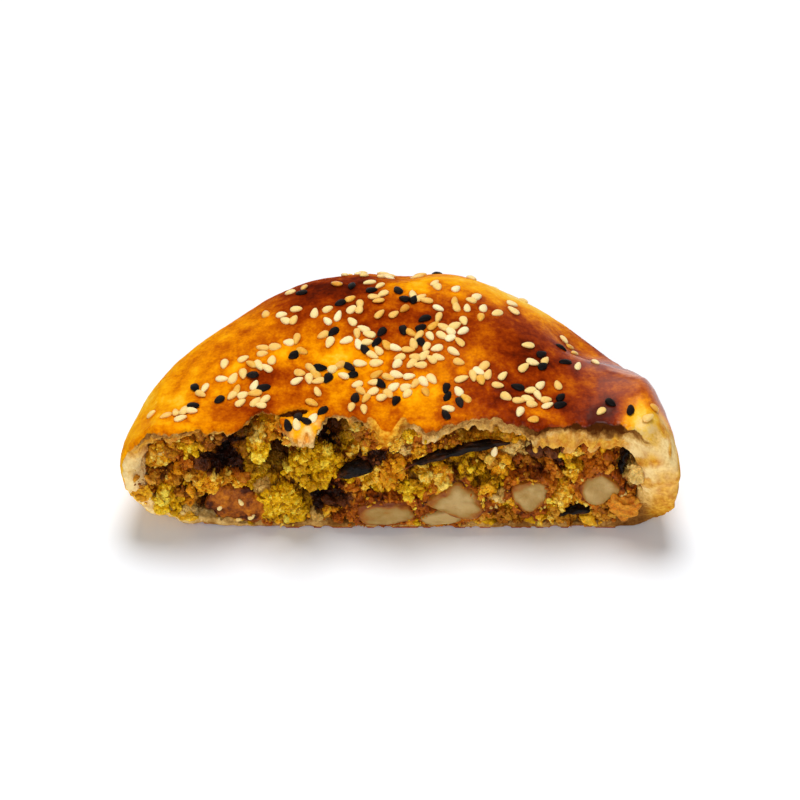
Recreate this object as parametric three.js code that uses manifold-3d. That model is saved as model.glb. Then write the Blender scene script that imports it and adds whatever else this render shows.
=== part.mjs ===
// One half of a round falafel pie, broken open: a glazed pastry crust sprinkled with sesame seeds, a crumbly
// filling that runs through it, chickpeas, strips of roasted aubergine and a fragment of browned pastry.
// Millimetres, +Z up. Shapes are worked out in the pie's own frame: the origin is the middle of the whole
// pie's base, +X runs along the broken side and +Y away from it. The last lines move it to the part's frame.

import * as THREE from "three";
import { mergeVertices } from "three/addons/utils/BufferGeometryUtils.js";
import Module from "manifold-3d";

const wasm = await Module();
wasm.setup();

// Driving dimensions of the whole pie
const PIE_RADIUS = 67;
const OUTLINE_FLAT = 0.041; // share by which the outline draws in between its four quarter points
const DOME_HEIGHT = 52; // the crown, before the broken edge sank
const GIRTH_HEIGHT = 20; // where the side bulges furthest
const DOME_POWER = 0.58; // 0.5 would be an ellipse, more is pointed
const SHOULDER = { from: 52, to: 62, power: 0.5 }; // the dome is rounder at the right end
const BASE_ROUND = { left: 34, right: 13 }; // how far in the rounded lower edge reaches
const BASE_POWER = 2.8; // 2 would be an ellipse, more is squarer
const EDGE_HEIGHT = 34.5; // the top crust at the break
const SINK_LENGTH = 29; // how far back the top sinks towards the break
const BASE_CRUST = 1.4;
const TOP_CRUST = { left: 3.4, right: 5.2 };
const SIDE_CRUST = { left: 5.5, right: 9 };
const GAP = 0.3; // between neighbouring solids
const MIDDLE_TO_ORIGIN = 30.2; // from the whole pie's middle to the part's origin, along Y

// Broad bumps and dents of the baked top: place, reach and height
const TOP_RELIEF = [
  { x: -27, y: 44, reach: 16, height: 2.4 },
  { x: 1, y: 54, reach: 7, height: -2.4 },
  { x: 15, y: 47, reach: 11, height: 1.6 },
  { x: 45, y: 33, reach: 8, height: -4.2 },
  { x: 60, y: 13, reach: 9, height: 3.4 },
  { x: -38, y: 20, reach: 12, height: 0.9 },
  { x: 22, y: 16, reach: 14, height: 1.2 },
  { x: -8, y: 14, reach: 9, height: -0.9 },
  { x: -48, y: 32, reach: 9, height: 1.5 },
  { x: -61, y: 9, reach: 9, height: -3 },
];

// The break in the top crust: tongues that reach forward and notches, by place, half width and reach
const CRUST_LIP = 0.6;
const TONGUES = [
  { x: -46, width: 9.5, reach: 2.3 },
  { x: -31.5, width: 3.6, reach: -3.8 },
  { x: -23, width: 4.6, reach: 4.6 },
  { x: -14, width: 4.6, reach: -3.2 },
  { x: -3, width: 2.8, reach: 4.2 },
  { x: 7.5, width: 2.4, reach: 2.1 },
  { x: 20, width: 5, reach: -2 },
  { x: 32.2, width: 2.2, reach: 2 },
];
const TONGUE_DROOP = 0.35; // fall for each millimetre that a tongue reaches forward
const CRACK = { x: -24.5, y: 3.4, half: [4.2, 0.5, 3], turn: 16 }; // behind the longest tongue
const CHEEK = { from: 52, to: 62, reach: 5.6, low: 1, high: 14 }; // the side wall's bulge at the right end
const JAG = { size: 2.6, depth: 0.7 };

// The broken face of the filling
const FACE = { setBack: -0.2, lean: 3.6, lumpSize: 5.5, lumpDepth: 1.5 };
const CAVITIES = [
  { x: -28.8, z: 20.6, width: 5, height: 4, depth: 8 },
  { x: -38.2, z: 28, width: 3.5, height: 5, depth: 7 },
  { x: -42.7, z: 20.6, width: 3, height: 3.5, depth: 6 },
  { x: -20.4, z: 10.4, width: 4.5, height: 3.5, depth: 6.5 },
  { x: -47.2, z: 7, width: 1.8, height: 6, depth: 6 },
  { x: -16, z: 29, width: 4, height: 6, depth: 7 },
  { x: 18.4, z: 29, width: 6, height: 2, depth: 6 },
  { x: 13, z: 16.6, width: 2, height: 2.4, depth: 4 },
  { x: 54.6, z: 27, width: 2, height: 2.5, depth: 6 },
];

// Pieces in the broken face: middle, half sizes along X, Y and Z, and a turn in the face in degrees
const CHICKPEAS = [
  { x: -3.2, y: 1.8, z: 6, half: [7, 4.6, 4.1], turn: 3 },
  { x: 14, y: 1.8, z: 10.4, half: [6.7, 4.8, 5], turn: -6 },
  { x: 8.8, y: 0.8, z: 3.8, half: [4.5, 3.2, 1.9], turn: 4 },
  { x: 31.7, y: 1.9, z: 11.2, half: [4.8, 4.6, 5.6], turn: 0 },
  { x: 48.2, y: 1.9, z: 13.2, half: [4.5, 4.6, 5.6], turn: 0 },
];
// Strips: both ends, the bow between them, and the half sizes of their section across and through the face
const AUBERGINES = [
  { from: [0.2, 0.6, 18], to: [26.4, 1.4, 27], bow: 1.6, half: [1.5, 2.2] },
  { from: [-15.4, 0.8, 16.4], to: [-6.4, 0.6, 18.6], bow: 0.8, half: [2.3, 2.6] },
  { from: [38.4, 0.4, 3.6], to: [47.4, 0.4, 7], bow: 0.4, half: [1.2, 2.4] },
  { from: [53.6, 0.6, 16.4], to: [55, 1.4, 25.4], bow: 0.4, half: [1.2, 2.4] },
];
const FRAGMENT = { x: -38.8, y: 0.4, z: 7.2, half: [7.3, 2, 4.8], turn: -8 };

const CHICKPEA_UNEVEN = 0.05;
const STRIP_WAVE = 0.35;
const FRAGMENT_SHAPE = { uneven: 0.09, square: 0.6 }; // 1 would leave it an egg, less is squarer

// Crumbs that stand out of the broken face
const CRUMBS = { count: 22, smallest: 1.9, largest: 3.4, flattest: 0.6, uneven: 0.3, draw: 11, tries: 40 };

// Sesame seeds, and the patches that they were sprinkled in: middle, spread along X and Y, count
const SEED = { length: 3.3, width: 2, thickness: 1.1, taper: 0.3, sunk: 0.45, flatTop: 0.5, apart: 1.8 };
const SPRINKLE = { draw: 29, edgeClear: 1.2, rim: 0.95, tries: 30 };
const PATCHES = [
  { x: -13, y: 32, spread: [8, 9], count: 9 },
  { x: -16, y: 24, spread: [8, 4], count: 3 },
  { x: -6.5, y: 22, spread: [5, 6], count: 9 },
  { x: -17.5, y: 15.5, spread: [10, 4], count: 11 },
  { x: -22, y: 1.2, spread: [6, 7], count: 8 },
  { x: -8.5, y: 7.5, spread: [6, 5], count: 4 },
  { x: -52.5, y: 5, spread: [7, 5], count: 5 },
  { x: -39, y: 9, spread: [12, 8], count: 13 },
  { x: -34, y: 18, spread: [8, 8], count: 6 },
  { x: -30, y: 32, spread: [16, 13], count: 5 },
  { x: -4, y: 42, spread: [7, 6], count: 4 },
  { x: 7, y: 35, spread: [9, 10], count: 8 },
  { x: 4, y: 24.5, spread: [7, 8], count: 10 },
  { x: 12.5, y: 24, spread: [9, 7], count: 8 },
  { x: 21, y: 33, spread: [8, 9], count: 5 },
  { x: 20, y: 13, spread: [8, 4], count: 7 },
  { x: 14, y: 6.5, spread: [6, 6], count: 6 },
  { x: 1, y: 12, spread: [8, 8], count: 13 },
  { x: 37, y: 19, spread: [12, 5], count: 6 },
  { x: 32.5, y: 8, spread: [10, 7], count: 11 },
  { x: 51, y: 3.5, spread: [12, 6], count: 4 },
  { x: 44, y: 29, spread: [11, 10], count: 3 },
  { x: 0, y: 54, spread: [44, 14], count: 10 },
];

// Facets
const AROUND = 48;
const EDGE_RINGS = 4;
const DOME_RINGS = 9;
const BLOCK = { x: 150, y: 80, z: 64, below: 4 };
const CRUST_FACETS = { columns: 60, rows: 24 };
const FACE_FACETS = { columns: 38, rows: 17 };
const SEED_SIDES = 4;
const PIECE_SIDES = 10;
const CRUMB_SIDES = 5;

const COLOURS = {
  crust: 0xc46a12,
  filling: 0xa97a1e,
  chickpea: 0xc2a468,
  aubergine: 0x2b1710,
  fragment: 0x9a4a14,
};

function clamp(value) {
  return Math.min(1, Math.max(0, value));
}

function smoothstep(low, high, value) {
  const t = clamp((value - low) / (high - low));
  return t * t * (3 - 2 * t);
}

function bell(value) {
  return Math.exp(-value * value);
}

// As a bell, with a flatter top and steeper sides
function plateau(value) {
  return Math.exp(-(value ** 4));
}

// Draws from 0 to 1, the same on every run.
function makeRandom(draw) {
  let state = draw >>> 0;
  return () => {
    state = (state + 0x6d2b79f5) >>> 0;
    let t = state;
    t = Math.imul(t ^ (t >>> 15), t | 1);
    t ^= t + Math.imul(t ^ (t >>> 7), t | 61);
    return ((t ^ (t >>> 14)) >>> 0) / 4294967296;
  };
}

// A fixed value from -1 to 1 for each point of a square lattice.
function latticeValue(i, j) {
  let h = Math.imul(i, 374761393) + Math.imul(j, 668265263);
  h = Math.imul(h ^ (h >>> 13), 1274126177);
  return ((h ^ (h >>> 16)) >>> 0) / 2147483648 - 1;
}

// Smooth noise from -1 to 1 with about one lump for each unit.
function noise(u, v) {
  const i = Math.floor(u);
  const j = Math.floor(v);
  const s = smoothstep(0, 1, u - i);
  const t = smoothstep(0, 1, v - j);
  const low = latticeValue(i, j) * (1 - s) + latticeValue(i + 1, j) * s;
  const high = latticeValue(i, j + 1) * (1 - s) + latticeValue(i + 1, j + 1) * s;
  return low * (1 - t) + high * t;
}

// The pie's outline and the sizes that change round it
function outlineRadius(angle) {
  return PIE_RADIUS * (1 - OUTLINE_FLAT * Math.sin(2 * angle) ** 2);
}

function fromLeftToRight(sizes, x) {
  return sizes.left + (sizes.right - sizes.left) * smoothstep(-PIE_RADIUS, PIE_RADIUS, x);
}

// The top of a dome of this outline and crown, without relief
function domeHeight(x, y, radius, crown) {
  const share = Math.hypot(x, y) / radius;
  const power = DOME_POWER + (SHOULDER.power - DOME_POWER) * smoothstep(SHOULDER.from, SHOULDER.to, x);
  return GIRTH_HEIGHT + (crown - GIRTH_HEIGHT) * Math.max(0, 1 - share * share) ** power;
}

// How far the top has sunk towards the break, and drooped where it reaches forward of it
function sinkDepth(x, y) {
  const overEdge = Math.max(0, domeHeight(x, 0, PIE_RADIUS, DOME_HEIGHT) - EDGE_HEIGHT);
  return overEdge * bell(Math.max(0, y) / SINK_LENGTH) + TONGUE_DROOP * Math.max(0, -y - CRUST_LIP);
}

function topRelief(x, y) {
  let height = 0;
  for (const bump of TOP_RELIEF) {
    height += bump.height * bell(Math.hypot(x - bump.x, y - bump.y) / bump.reach);
  }
  return height;
}

// The baked top, thickness below the glazed surface and inset from the outline
function topHeight(x, y, inset = 0, thickness = 0) {
  const radius = outlineRadius(Math.atan2(y, x)) - inset;
  const crown = DOME_HEIGHT - thickness;
  const dome = domeHeight(x, y, radius, crown);
  const onTop = smoothstep(0, 1, (dome - GIRTH_HEIGHT) / (EDGE_HEIGHT - GIRTH_HEIGHT));
  return dome + onTop * (topRelief(x, y) - sinkDepth(x, y));
}

// Solids and meshes
function toSolid(geometry) {
  const bare = new THREE.BufferGeometry().setIndex(geometry.index);
  bare.setAttribute("position", geometry.getAttribute("position"));
  const merged = mergeVertices(bare, 1e-4);
  return new wasm.Manifold(
    new wasm.Mesh({
      numProp: 3,
      vertProperties: new Float32Array(merged.attributes.position.array),
      triVerts: new Uint32Array(merged.index.array),
    }),
  );
}

function toGeometry(solid) {
  const mesh = solid.getMesh();
  const geometry = new THREE.BufferGeometry();
  geometry.setAttribute("position", new THREE.BufferAttribute(mesh.vertProperties, 3));
  geometry.setIndex(new THREE.BufferAttribute(mesh.triVerts, 1));
  geometry.computeVertexNormals();
  return geometry;
}

// Loose scraps that a jagged cut leaves are dropped.
function largestBody(solid) {
  return solid.decompose().reduce((a, b) => (a.volume() > b.volume() ? a : b));
}

function movePoints(geometry, move) {
  const position = geometry.getAttribute("position");
  const point = new THREE.Vector3();
  for (let i = 0; i < position.count; i++) {
    move(point.fromBufferAttribute(position, i));
    position.setXYZ(i, point.x, point.y, point.z);
  }
  return geometry;
}

// A closed body from rings of points between a lowest and a highest point.
function ringBody(lowest, rings, highest) {
  const points = [lowest, ...rings.flat(), highest];
  const last = points.length - 1;
  const at = (ring, k) => 1 + ring * AROUND + (k % AROUND);
  const index = [];
  for (let k = 0; k < AROUND; k++) {
    index.push(0, at(0, k + 1), at(0, k));
    for (let ring = 0; ring + 1 < rings.length; ring++) {
      index.push(at(ring, k), at(ring, k + 1), at(ring + 1, k + 1));
      index.push(at(ring, k), at(ring + 1, k + 1), at(ring + 1, k));
    }
    index.push(last, at(rings.length - 1, k), at(rings.length - 1, k + 1));
  }
  return toSolid(new THREE.BufferGeometry().setFromPoints(points).setIndex(index));
}

// The whole pie's body: its outside, or the space inside its crust drawn in by a further gap.
function pieBody(hollow, gap = 0) {
  const base = hollow ? BASE_CRUST + gap : 0;
  const inset = (x) => (hollow ? fromLeftToRight(SIDE_CRUST, x) + gap : 0);
  const thickness = (x) => (hollow ? fromLeftToRight(TOP_CRUST, x) + gap : 0);
  const ring = (pointAt) =>
    Array.from({ length: AROUND }, (_, k) => {
      const angle = (2 * Math.PI * k) / AROUND;
      const outside = outlineRadius(angle);
      const side = outside * Math.cos(angle);
      const [r, z] = pointAt(outside - inset(side), fromLeftToRight(BASE_ROUND, side));
      return new THREE.Vector3(r * Math.cos(angle), r * Math.sin(angle), z);
    });
  const rings = [];
  for (let k = 0; k <= EDGE_RINGS; k++) {
    const turn = ((Math.PI / 2) * k) / EDGE_RINGS;
    const out = Math.sin(turn) ** (2 / BASE_POWER);
    const up = 1 - Math.cos(turn) ** (2 / BASE_POWER);
    rings.push(ring((radius, round) => [radius - round * (1 - out), base + (GIRTH_HEIGHT - base) * up]));
  }
  for (let k = 1; k < DOME_RINGS; k++) {
    const share = Math.cos(((Math.PI / 2) * k) / DOME_RINGS);
    rings.push(ring((radius) => [share * radius, 0]));
    for (const point of rings.at(-1)) {
      const side = point.x / share;
      point.z = topHeight(point.x, point.y, inset(side), thickness(point.x));
    }
  }
  const crown = new THREE.Vector3(0, 0, topHeight(0, 0, inset(0), thickness(0)));
  return ringBody(new THREE.Vector3(0, 0, base), rings, crown);
}

// What is broken away: a block whose far side is the surface y = front(x, z).
function brokenAway(front, { columns, rows }) {
  const block = new THREE.BoxGeometry(BLOCK.x, BLOCK.y, BLOCK.z, columns, 1, rows);
  block.translate(0, -BLOCK.y / 2, BLOCK.z / 2 - BLOCK.below);
  movePoints(block, (p) => {
    if (p.y > -BLOCK.y / 2) p.setY(front(p.x, p.z));
  });
  return toSolid(block);
}

// How far the top crust reaches forward of the pie's middle at the break
function tongueReach(x) {
  let reach = CRUST_LIP;
  for (const tongue of TONGUES) reach += tongue.reach * plateau((x - tongue.x) / tongue.width);
  return reach;
}

function crustFront(x, z) {
  const upper = smoothstep(EDGE_HEIGHT / 2, EDGE_HEIGHT - TOP_CRUST.right, z);
  const cheek = CHEEK.reach * smoothstep(CHEEK.low, CHEEK.high, z) * smoothstep(CHEEK.from, CHEEK.to, x);
  const jag = JAG.depth * noise(x / JAG.size, z / JAG.size) * smoothstep(0, JAG.size, z);
  return -(CRUST_LIP + upper * (tongueReach(x) - CRUST_LIP) + cheek + jag);
}

function fillingFront(x, z) {
  let y = FACE.setBack + FACE.lean * smoothstep(0, EDGE_HEIGHT, z);
  y += FACE.lumpDepth * noise(x / FACE.lumpSize, z / FACE.lumpSize);
  for (const cavity of CAVITIES) {
    const away = Math.hypot((x - cavity.x) / cavity.width, (z - cavity.z) / cavity.height);
    y += cavity.depth * bell(away);
  }
  return y;
}

// Sesame seeds: where they lie in their patches, kept a little apart
function seedPlaces() {
  const random = makeRandom(SPRINKLE.draw);
  const scatter = () => (2 / 3) * (random() + random() + random()) - 1;
  const places = [];
  const isFree = (x, y) => {
    const rim = outlineRadius(Math.atan2(y, x)) * SPRINKLE.rim;
    const onCrust = Math.hypot(x, y) < rim && y > SPRINKLE.edgeClear - tongueReach(x);
    return onCrust && places.every((p) => Math.hypot(p.x - x, p.y - y) > SEED.apart);
  };
  for (const patch of PATCHES) {
    let laid = 0;
    for (let tries = 0; laid < patch.count && tries < SPRINKLE.tries * patch.count; tries++) {
      const x = patch.x + patch.spread[0] * scatter();
      const y = patch.y + patch.spread[1] * scatter();
      const turn = 2 * Math.PI * random();
      if (!isFree(x, y)) continue;
      places.push({ x, y, turn });
      laid++;
    }
  }
  return places;
}

// One seed, a flat drop that lies on the plane z = 0 with its point along +X
function seedGeometry() {
  const seed = new THREE.CylinderGeometry(SEED.flatTop, 1, 1, SEED_SIDES);
  seed.rotateX(Math.PI / 2).rotateZ(-Math.PI / 2);
  return movePoints(seed, (p) => {
    const slim = 1 - SEED.taper * p.x;
    p.set((p.x * SEED.length) / 2, (p.y * slim * SEED.width) / 2, (p.z + 0.5 - SEED.sunk) * SEED.thickness);
  });
}

// A seed laid on the baked top
function seedOnTop({ x, y, turn }) {
  const step = 0.5;
  const height = (dx, dy) => topHeight(x + dx, y + dy);
  const slopeX = (height(step, 0) - height(-step, 0)) / (2 * step);
  const slopeY = (height(0, step) - height(0, -step)) / (2 * step);
  const normal = new THREE.Vector3(-slopeX, -slopeY, 1).normalize();
  const lean = new THREE.Quaternion().setFromUnitVectors(new THREE.Vector3(0, 0, 1), normal);
  const spin = new THREE.Quaternion().setFromAxisAngle(new THREE.Vector3(0, 0, 1), turn);
  const seed = seedGeometry().applyQuaternion(lean.multiply(spin));
  return toSolid(seed.translate(x, y, height(0, 0)));
}

function crustSolid() {
  const shell = pieBody(false).subtract(pieBody(true));
  const crackPlace = { ...CRACK, z: topHeight(CRACK.x, CRACK.y) };
  const crack = toSolid(turnedOnTop(lumpGeometry(CRACK.half, 0, 0), crackPlace));
  const broken = largestBody(shell.subtract(brokenAway(crustFront, CRUST_FACETS)).subtract(crack));
  const seeds = wasm.Manifold.union(seedPlaces().map(seedOnTop));
  return largestBody(broken.add(seeds));
}

// A rounded lump, drawn out to its half sizes and slightly uneven
function lumpGeometry(half, unevenness, variety, sides = PIECE_SIDES) {
  const lump = new THREE.SphereGeometry(1, sides, Math.round(sides * 0.7));
  return movePoints(lump, (p) => {
    const swell = 1 + unevenness * noise(2 * p.x + variety, 2 * p.z + 3 * p.y + variety);
    p.set(p.x * half[0] * swell, p.y * half[1] * swell, p.z * half[2] * swell);
  });
}

function placeInFace(geometry, { x, y, z, turn }) {
  return toSolid(geometry.rotateY(THREE.MathUtils.degToRad(-turn)).translate(x, y, z));
}

function turnedOnTop(geometry, { x, y, z, turn }) {
  return geometry.rotateZ(THREE.MathUtils.degToRad(turn)).translate(x, y, z);
}

function chickpeaSolid(pea, variety, grow = 0) {
  const half = pea.half.map((size) => size + grow);
  return placeInFace(lumpGeometry(half, CHICKPEA_UNEVEN, variety), pea);
}

// A bowed strip with round ends: a lump drawn out along the line between its ends
function aubergineSolid(strip, variety, grow = 0) {
  const [from, to] = [new THREE.Vector3(...strip.from), new THREE.Vector3(...strip.to)];
  const along = to.clone().sub(from);
  const middle = from.clone().add(to).multiplyScalar(0.5);
  const halfLength = along.length() / 2;
  const slices = Math.round(halfLength / 2);
  const body = new THREE.CapsuleGeometry(1, 2, 2, 8, slices).rotateZ(Math.PI / 2);
  movePoints(body, (p) => {
    const end = clamp(2 - Math.abs(p.x));
    const across = p.z * (strip.half[0] + grow);
    const through = p.y * (strip.half[1] + grow);
    const share = p.x / 2;
    const wave = STRIP_WAVE * noise(4 * share + variety, variety) * end;
    const reach = halfLength + grow;
    p.set(share * reach, through, across + wave + strip.bow * (1 - share * share));
  });
  const turn = THREE.MathUtils.radToDeg(Math.atan2(along.z, along.x));
  return placeInFace(body, { x: middle.x, y: middle.y, z: middle.z, turn });
}

function fragmentSolid(grow = 0) {
  const half = FRAGMENT.half.map((size) => size + grow);
  const slab = new THREE.SphereGeometry(1, PIECE_SIDES, PIECE_SIDES - 2);
  movePoints(slab, (p) => {
    const square = (v) => Math.sign(v) * Math.abs(v) ** FRAGMENT_SHAPE.square;
    const swell = 1 + FRAGMENT_SHAPE.uneven * noise(3 * p.x, 3 * p.z + p.y);
    p.set(square(p.x) * half[0] * swell, square(p.y) * half[1], square(p.z) * half[2] * swell);
  });
  return placeInFace(slab, FRAGMENT);
}

// Rough crumbs on the broken face, clear of the larger pieces
function crumbSolids(taken) {
  const random = makeRandom(CRUMBS.draw);
  const crumbs = [];
  for (let tries = 0; crumbs.length < CRUMBS.count && tries < CRUMBS.tries * CRUMBS.count; tries++) {
    const rank = crumbs.length / (CRUMBS.count - 1);
    const size = CRUMBS.largest + (CRUMBS.smallest - CRUMBS.largest) * rank;
    const x = (2 * random() - 1) * (PIE_RADIUS - SIDE_CRUST.right - size);
    const z = BASE_CRUST + size + random() * (EDGE_HEIGHT - TOP_CRUST.right - BASE_CRUST - 2 * size);
    const turn = random() * 180;
    const flatten = () => CRUMBS.flattest + (1 - CRUMBS.flattest) * random();
    const half = [size, size * flatten(), size * flatten()];
    const inHole = CAVITIES.some((c) => Math.hypot((x - c.x) / c.width, (z - c.z) / c.height) < 1);
    const blocked = taken.some((t) => {
      return Math.abs(x - t.x) < t.half[0] + size && Math.abs(z - t.z) < t.half[2] + size;
    });
    if (inHole || blocked) continue;
    const y = fillingFront(x, z);
    const crumb = lumpGeometry(half, CRUMBS.uneven, crumbs.length, CRUMB_SIDES);
    crumbs.push(placeInFace(crumb, { x, y, z, turn }));
  }
  return crumbs;
}

// The space that a strip takes in the face, as a middle and half sizes
function stripSpace(strip) {
  const [from, to] = [strip.from, strip.to];
  return {
    x: (from[0] + to[0]) / 2,
    z: (from[2] + to[2]) / 2,
    half: [Math.abs(to[0] - from[0]) / 2, strip.half[1], Math.abs(to[2] - from[2]) / 2],
  };
}

const hollow = pieBody(true, GAP);
const chickpeas = CHICKPEAS.map((pea, k) => chickpeaSolid(pea, k).intersect(hollow));
const aubergines = AUBERGINES.map((strip, k) => aubergineSolid(strip, k).intersect(hollow));
const fragment = fragmentSolid().intersect(hollow);

// The filling fills the hollow behind its broken face, with a socket round each larger piece.
function fillingSolid() {
  const taken = [...CHICKPEAS, ...AUBERGINES.map(stripSpace), FRAGMENT];
  const core = hollow.subtract(brokenAway(fillingFront, FACE_FACETS));
  const heap = wasm.Manifold.union([core, ...crumbSolids(taken)]).intersect(hollow);
  const sockets = wasm.Manifold.union([
    ...CHICKPEAS.map((pea, k) => chickpeaSolid(pea, k, GAP)),
    ...AUBERGINES.map((strip, k) => aubergineSolid(strip, k, GAP)),
    fragmentSolid(GAP),
  ]);
  return largestBody(heap.subtract(sockets));
}

function namedMesh(name, solid, colour, roughness) {
  const material = new THREE.MeshStandardMaterial({ color: colour, roughness, metalness: 0 });
  const mesh = new THREE.Mesh(toGeometry(solid), material);
  mesh.name = name;
  return mesh;
}

const pie = new THREE.Group();
pie.add(namedMesh("crust", crustSolid(), COLOURS.crust, 0.35));
pie.add(namedMesh("filling", fillingSolid(), COLOURS.filling, 0.8));
chickpeas.forEach((solid, k) => {
  pie.add(namedMesh(`chickpea_${k + 1}`, solid, COLOURS.chickpea, 0.5));
});
aubergines.forEach((solid, k) => {
  pie.add(namedMesh(`aubergine_${k + 1}`, solid, COLOURS.aubergine, 0.4));
});
pie.add(namedMesh("crust_fragment", fragment, COLOURS.fragment, 0.5));
pie.position.set(0, -MIDDLE_TO_ORIGIN, 0);

const part = new THREE.Group();
part.add(pie);
export default part;
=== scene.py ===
import contextlib
import math

import bmesh
import bpy
import numpy as np
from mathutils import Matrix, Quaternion, Vector


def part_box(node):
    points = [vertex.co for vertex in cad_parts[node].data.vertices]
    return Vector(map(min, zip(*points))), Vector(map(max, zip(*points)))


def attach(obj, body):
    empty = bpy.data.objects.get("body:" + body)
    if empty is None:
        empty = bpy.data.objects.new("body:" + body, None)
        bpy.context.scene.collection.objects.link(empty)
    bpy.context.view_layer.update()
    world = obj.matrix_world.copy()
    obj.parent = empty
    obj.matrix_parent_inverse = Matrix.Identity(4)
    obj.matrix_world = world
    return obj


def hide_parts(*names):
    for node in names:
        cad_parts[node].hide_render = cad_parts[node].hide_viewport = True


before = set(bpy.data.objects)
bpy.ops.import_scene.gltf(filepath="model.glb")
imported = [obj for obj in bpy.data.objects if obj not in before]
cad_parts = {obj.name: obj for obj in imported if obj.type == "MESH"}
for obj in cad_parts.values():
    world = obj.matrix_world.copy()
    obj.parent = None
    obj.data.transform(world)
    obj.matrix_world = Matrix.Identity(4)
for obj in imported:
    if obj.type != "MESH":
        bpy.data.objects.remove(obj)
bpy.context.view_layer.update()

# The half pie's form, in millimetres, in the whole pie's frame: its origin is in the middle of the base,
# +X runs along the broken side and +Y away from it. A pair of sizes is for the left and the right end,
# and a pair of limits says where along an axis something begins and where it is complete
PIE_RADIUS = 67
OUTLINE_FLAT = 0.041
DOME_HEIGHT = 52
GIRTH_HEIGHT = 20
DOME_POWER = (0.58, 0.5)
SHOULDER = (52, 62)
BASE_ROUND = (34, 13)
BASE_POWER = 2.8
EDGE_HEIGHT = 34.5
SINK_LENGTH = 29
BASE_CRUST = 1.4
TOP_CRUST = (3.4, 5.2)
SIDE_CRUST = (5.5, 9)
GAP = 0.3
MIDDLE_TO_ORIGIN = PIE_RADIUS - 1000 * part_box("crust")[1].y

# Bumps and hollows of the baked top: middle, reach and height
TOP_RELIEF = [
    (-27, 44, 16, 2.4),
    (1, 54, 7, -2.4),
    (15, 47, 11, 1.6),
    (45, 33, 8, -4.2),
    (60, 13, 9, 3.4),
    (-38, 20, 12, 0.9),
    (22, 16, 14, 1.2),
    (-8, 14, 9, -0.9),
    (-48, 32, 9, 1.5),
    (-61, 9, 9, -3),
]

# The torn edge of the top crust: place along X, width and reach of each tongue or notch,
# then the crack and the flap on its left, the cheek at its right end and how the tear is jagged and undercut
CRUST_LIP = 0.6
TONGUES = [
    (-46, 9.5, 2.3),
    (-31.5, 3.6, -3.8),
    (-23, 4.6, 4.6),
    (-14, 4.6, -3.2),
    (-3, 2.8, 4.2),
    (7.5, 2.4, 2.1),
    (20, 5, -2),
    (32.2, 2.2, 2),
]
TONGUE_DROOP = 0.35
# The crack: middle, half sizes, turn, and where the dough in it darkens as painted shade
CRACK = {"x": -25, "y": 3.2, "half": (4.2, 1.2, 3), "turn": 16, "dark": (1.8, 1)}
FLAP = {"x": -22.5, "half": 5, "y": (2.5, 0), "z": (22, 26), "rag": 2.2}
FLAP_DOUGH = {"share": 0.8, "patch": (-0.5, 0.4), "size": 3}
CHEEK = {"x": (52, 62), "z": (1, 14), "reach": 5.6}
JAG = {"size": 2.6, "depth": 0.7}
FINE_JAG = {"size": 0.9, "depth": 0.35}
UNDERCUT = {"depth": 1.9, "below": (0.5, 1.6), "ends": (54, 48), "less": 0.7, "right": (-12, 4)}

# Relief of the crust: its skin, its folds and its torn dough. Layers of noise are pairs of size and height
SKIN = {"depth": 0.8, "torn": (0.4, -0.2), "rests": (0.2, 1.2)}
SWELL = ((7, 0.22), (2.6, 0.1), (1.2, 0.04))
WRINKLE = {"turn": -38, "stretch": (0.2, 0.4, 1), "size": 1.7}
FOLDS = {"x": (50, 58), "y": (10, -2), "height": 0.4}
TEARS = {"size": 1.9, "height": 0.7, "leaf": 1.4, "leaf_height": 0.4, "stretch": (0.3, 1, 1.8)}
TEAR_ZONE = {"reach": 6, "lowest": 2, "band": 16, "ends": 50}
RAG = {"y": (2.5, 0.5), "z": (20, 24), "layers": ((0.9, 0.45), (0.4, 0.3))}
WALL_BULGE = {"x": (-51, -57), "z": (8, 16), "near": (6, 2), "out": 1.8}
HANGING = {"depth": (0.3, 1), "y": (9, 5), "z": (18, 25), "mean": 0.5, "shreds": ((2.3, 1.5), (0.9, 0.8))}
THICK_BAND = {"x": 43, "half": 10, "more": 3.4}
THIN_BAND = {"x": (-18, -34), "less": 1.5}
SKIN_STEP = 0.4
DOUGH_PROUD = 0.3

# The broken face of the filling, and its cavities: middle in the face, width, height and depth
FACE = {"set_back": -0.2, "lean": 3.6, "lump_size": 5.5, "lump_depth": 1.5}
CAVITIES = [
    (-28.8, 20.6, 5, 4, 8),
    (-38.2, 28, 3.5, 5, 7),
    (-42.7, 20.6, 3, 3.5, 6),
    (-20.4, 10.4, 4.5, 3.5, 6.5),
    (-47.2, 7, 1.8, 6, 6),
    (-16, 29, 4, 6, 7),
    (18.4, 29, 6, 2, 6),
    (13, 16.6, 2, 2.4, 4),
    (54.6, 27, 2, 2.5, 6),
]

# Chickpeas as they show in the broken face: middle, half sizes along X, Y and Z, a turn in the face in
# degrees, the sides that flatten them, each as its direction in degrees and its share of the way out,
# and how light they are
CHICKPEAS = [
    ((-3.2, 2.2, 5.8), (8, 4.6, 4.8), 3, [(90, 0.84), (-90, 0.88)], 0.6),
    ((14.2, 2.2, 9.9), (9, 4.8, 6.4), 0, [(142, 0.7), (30, 0.6), (-120, 0.76)], 0.82),
    ((10.4, 1.6, 4), (5.8, 3.6, 3), 4, [(125, 0.84), (-90, 0.8)], 1.05),
    ((31.6, 2.3, 11.5), (5.3, 4.6, 6.2), 0, [(100, 0.88), (-30, 0.88), (200, 0.92)], 0.74),
    ((48.5, 2.3, 13.9), (5.8, 4.6, 6.8), 0, [(45, 0.8), (135, 0.8), (225, 0.84), (-45, 0.82)], 0.72),
]
PEA = {"corner": 6, "blunt": 5, "swell": 0.05, "rough": 0.05}
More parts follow.
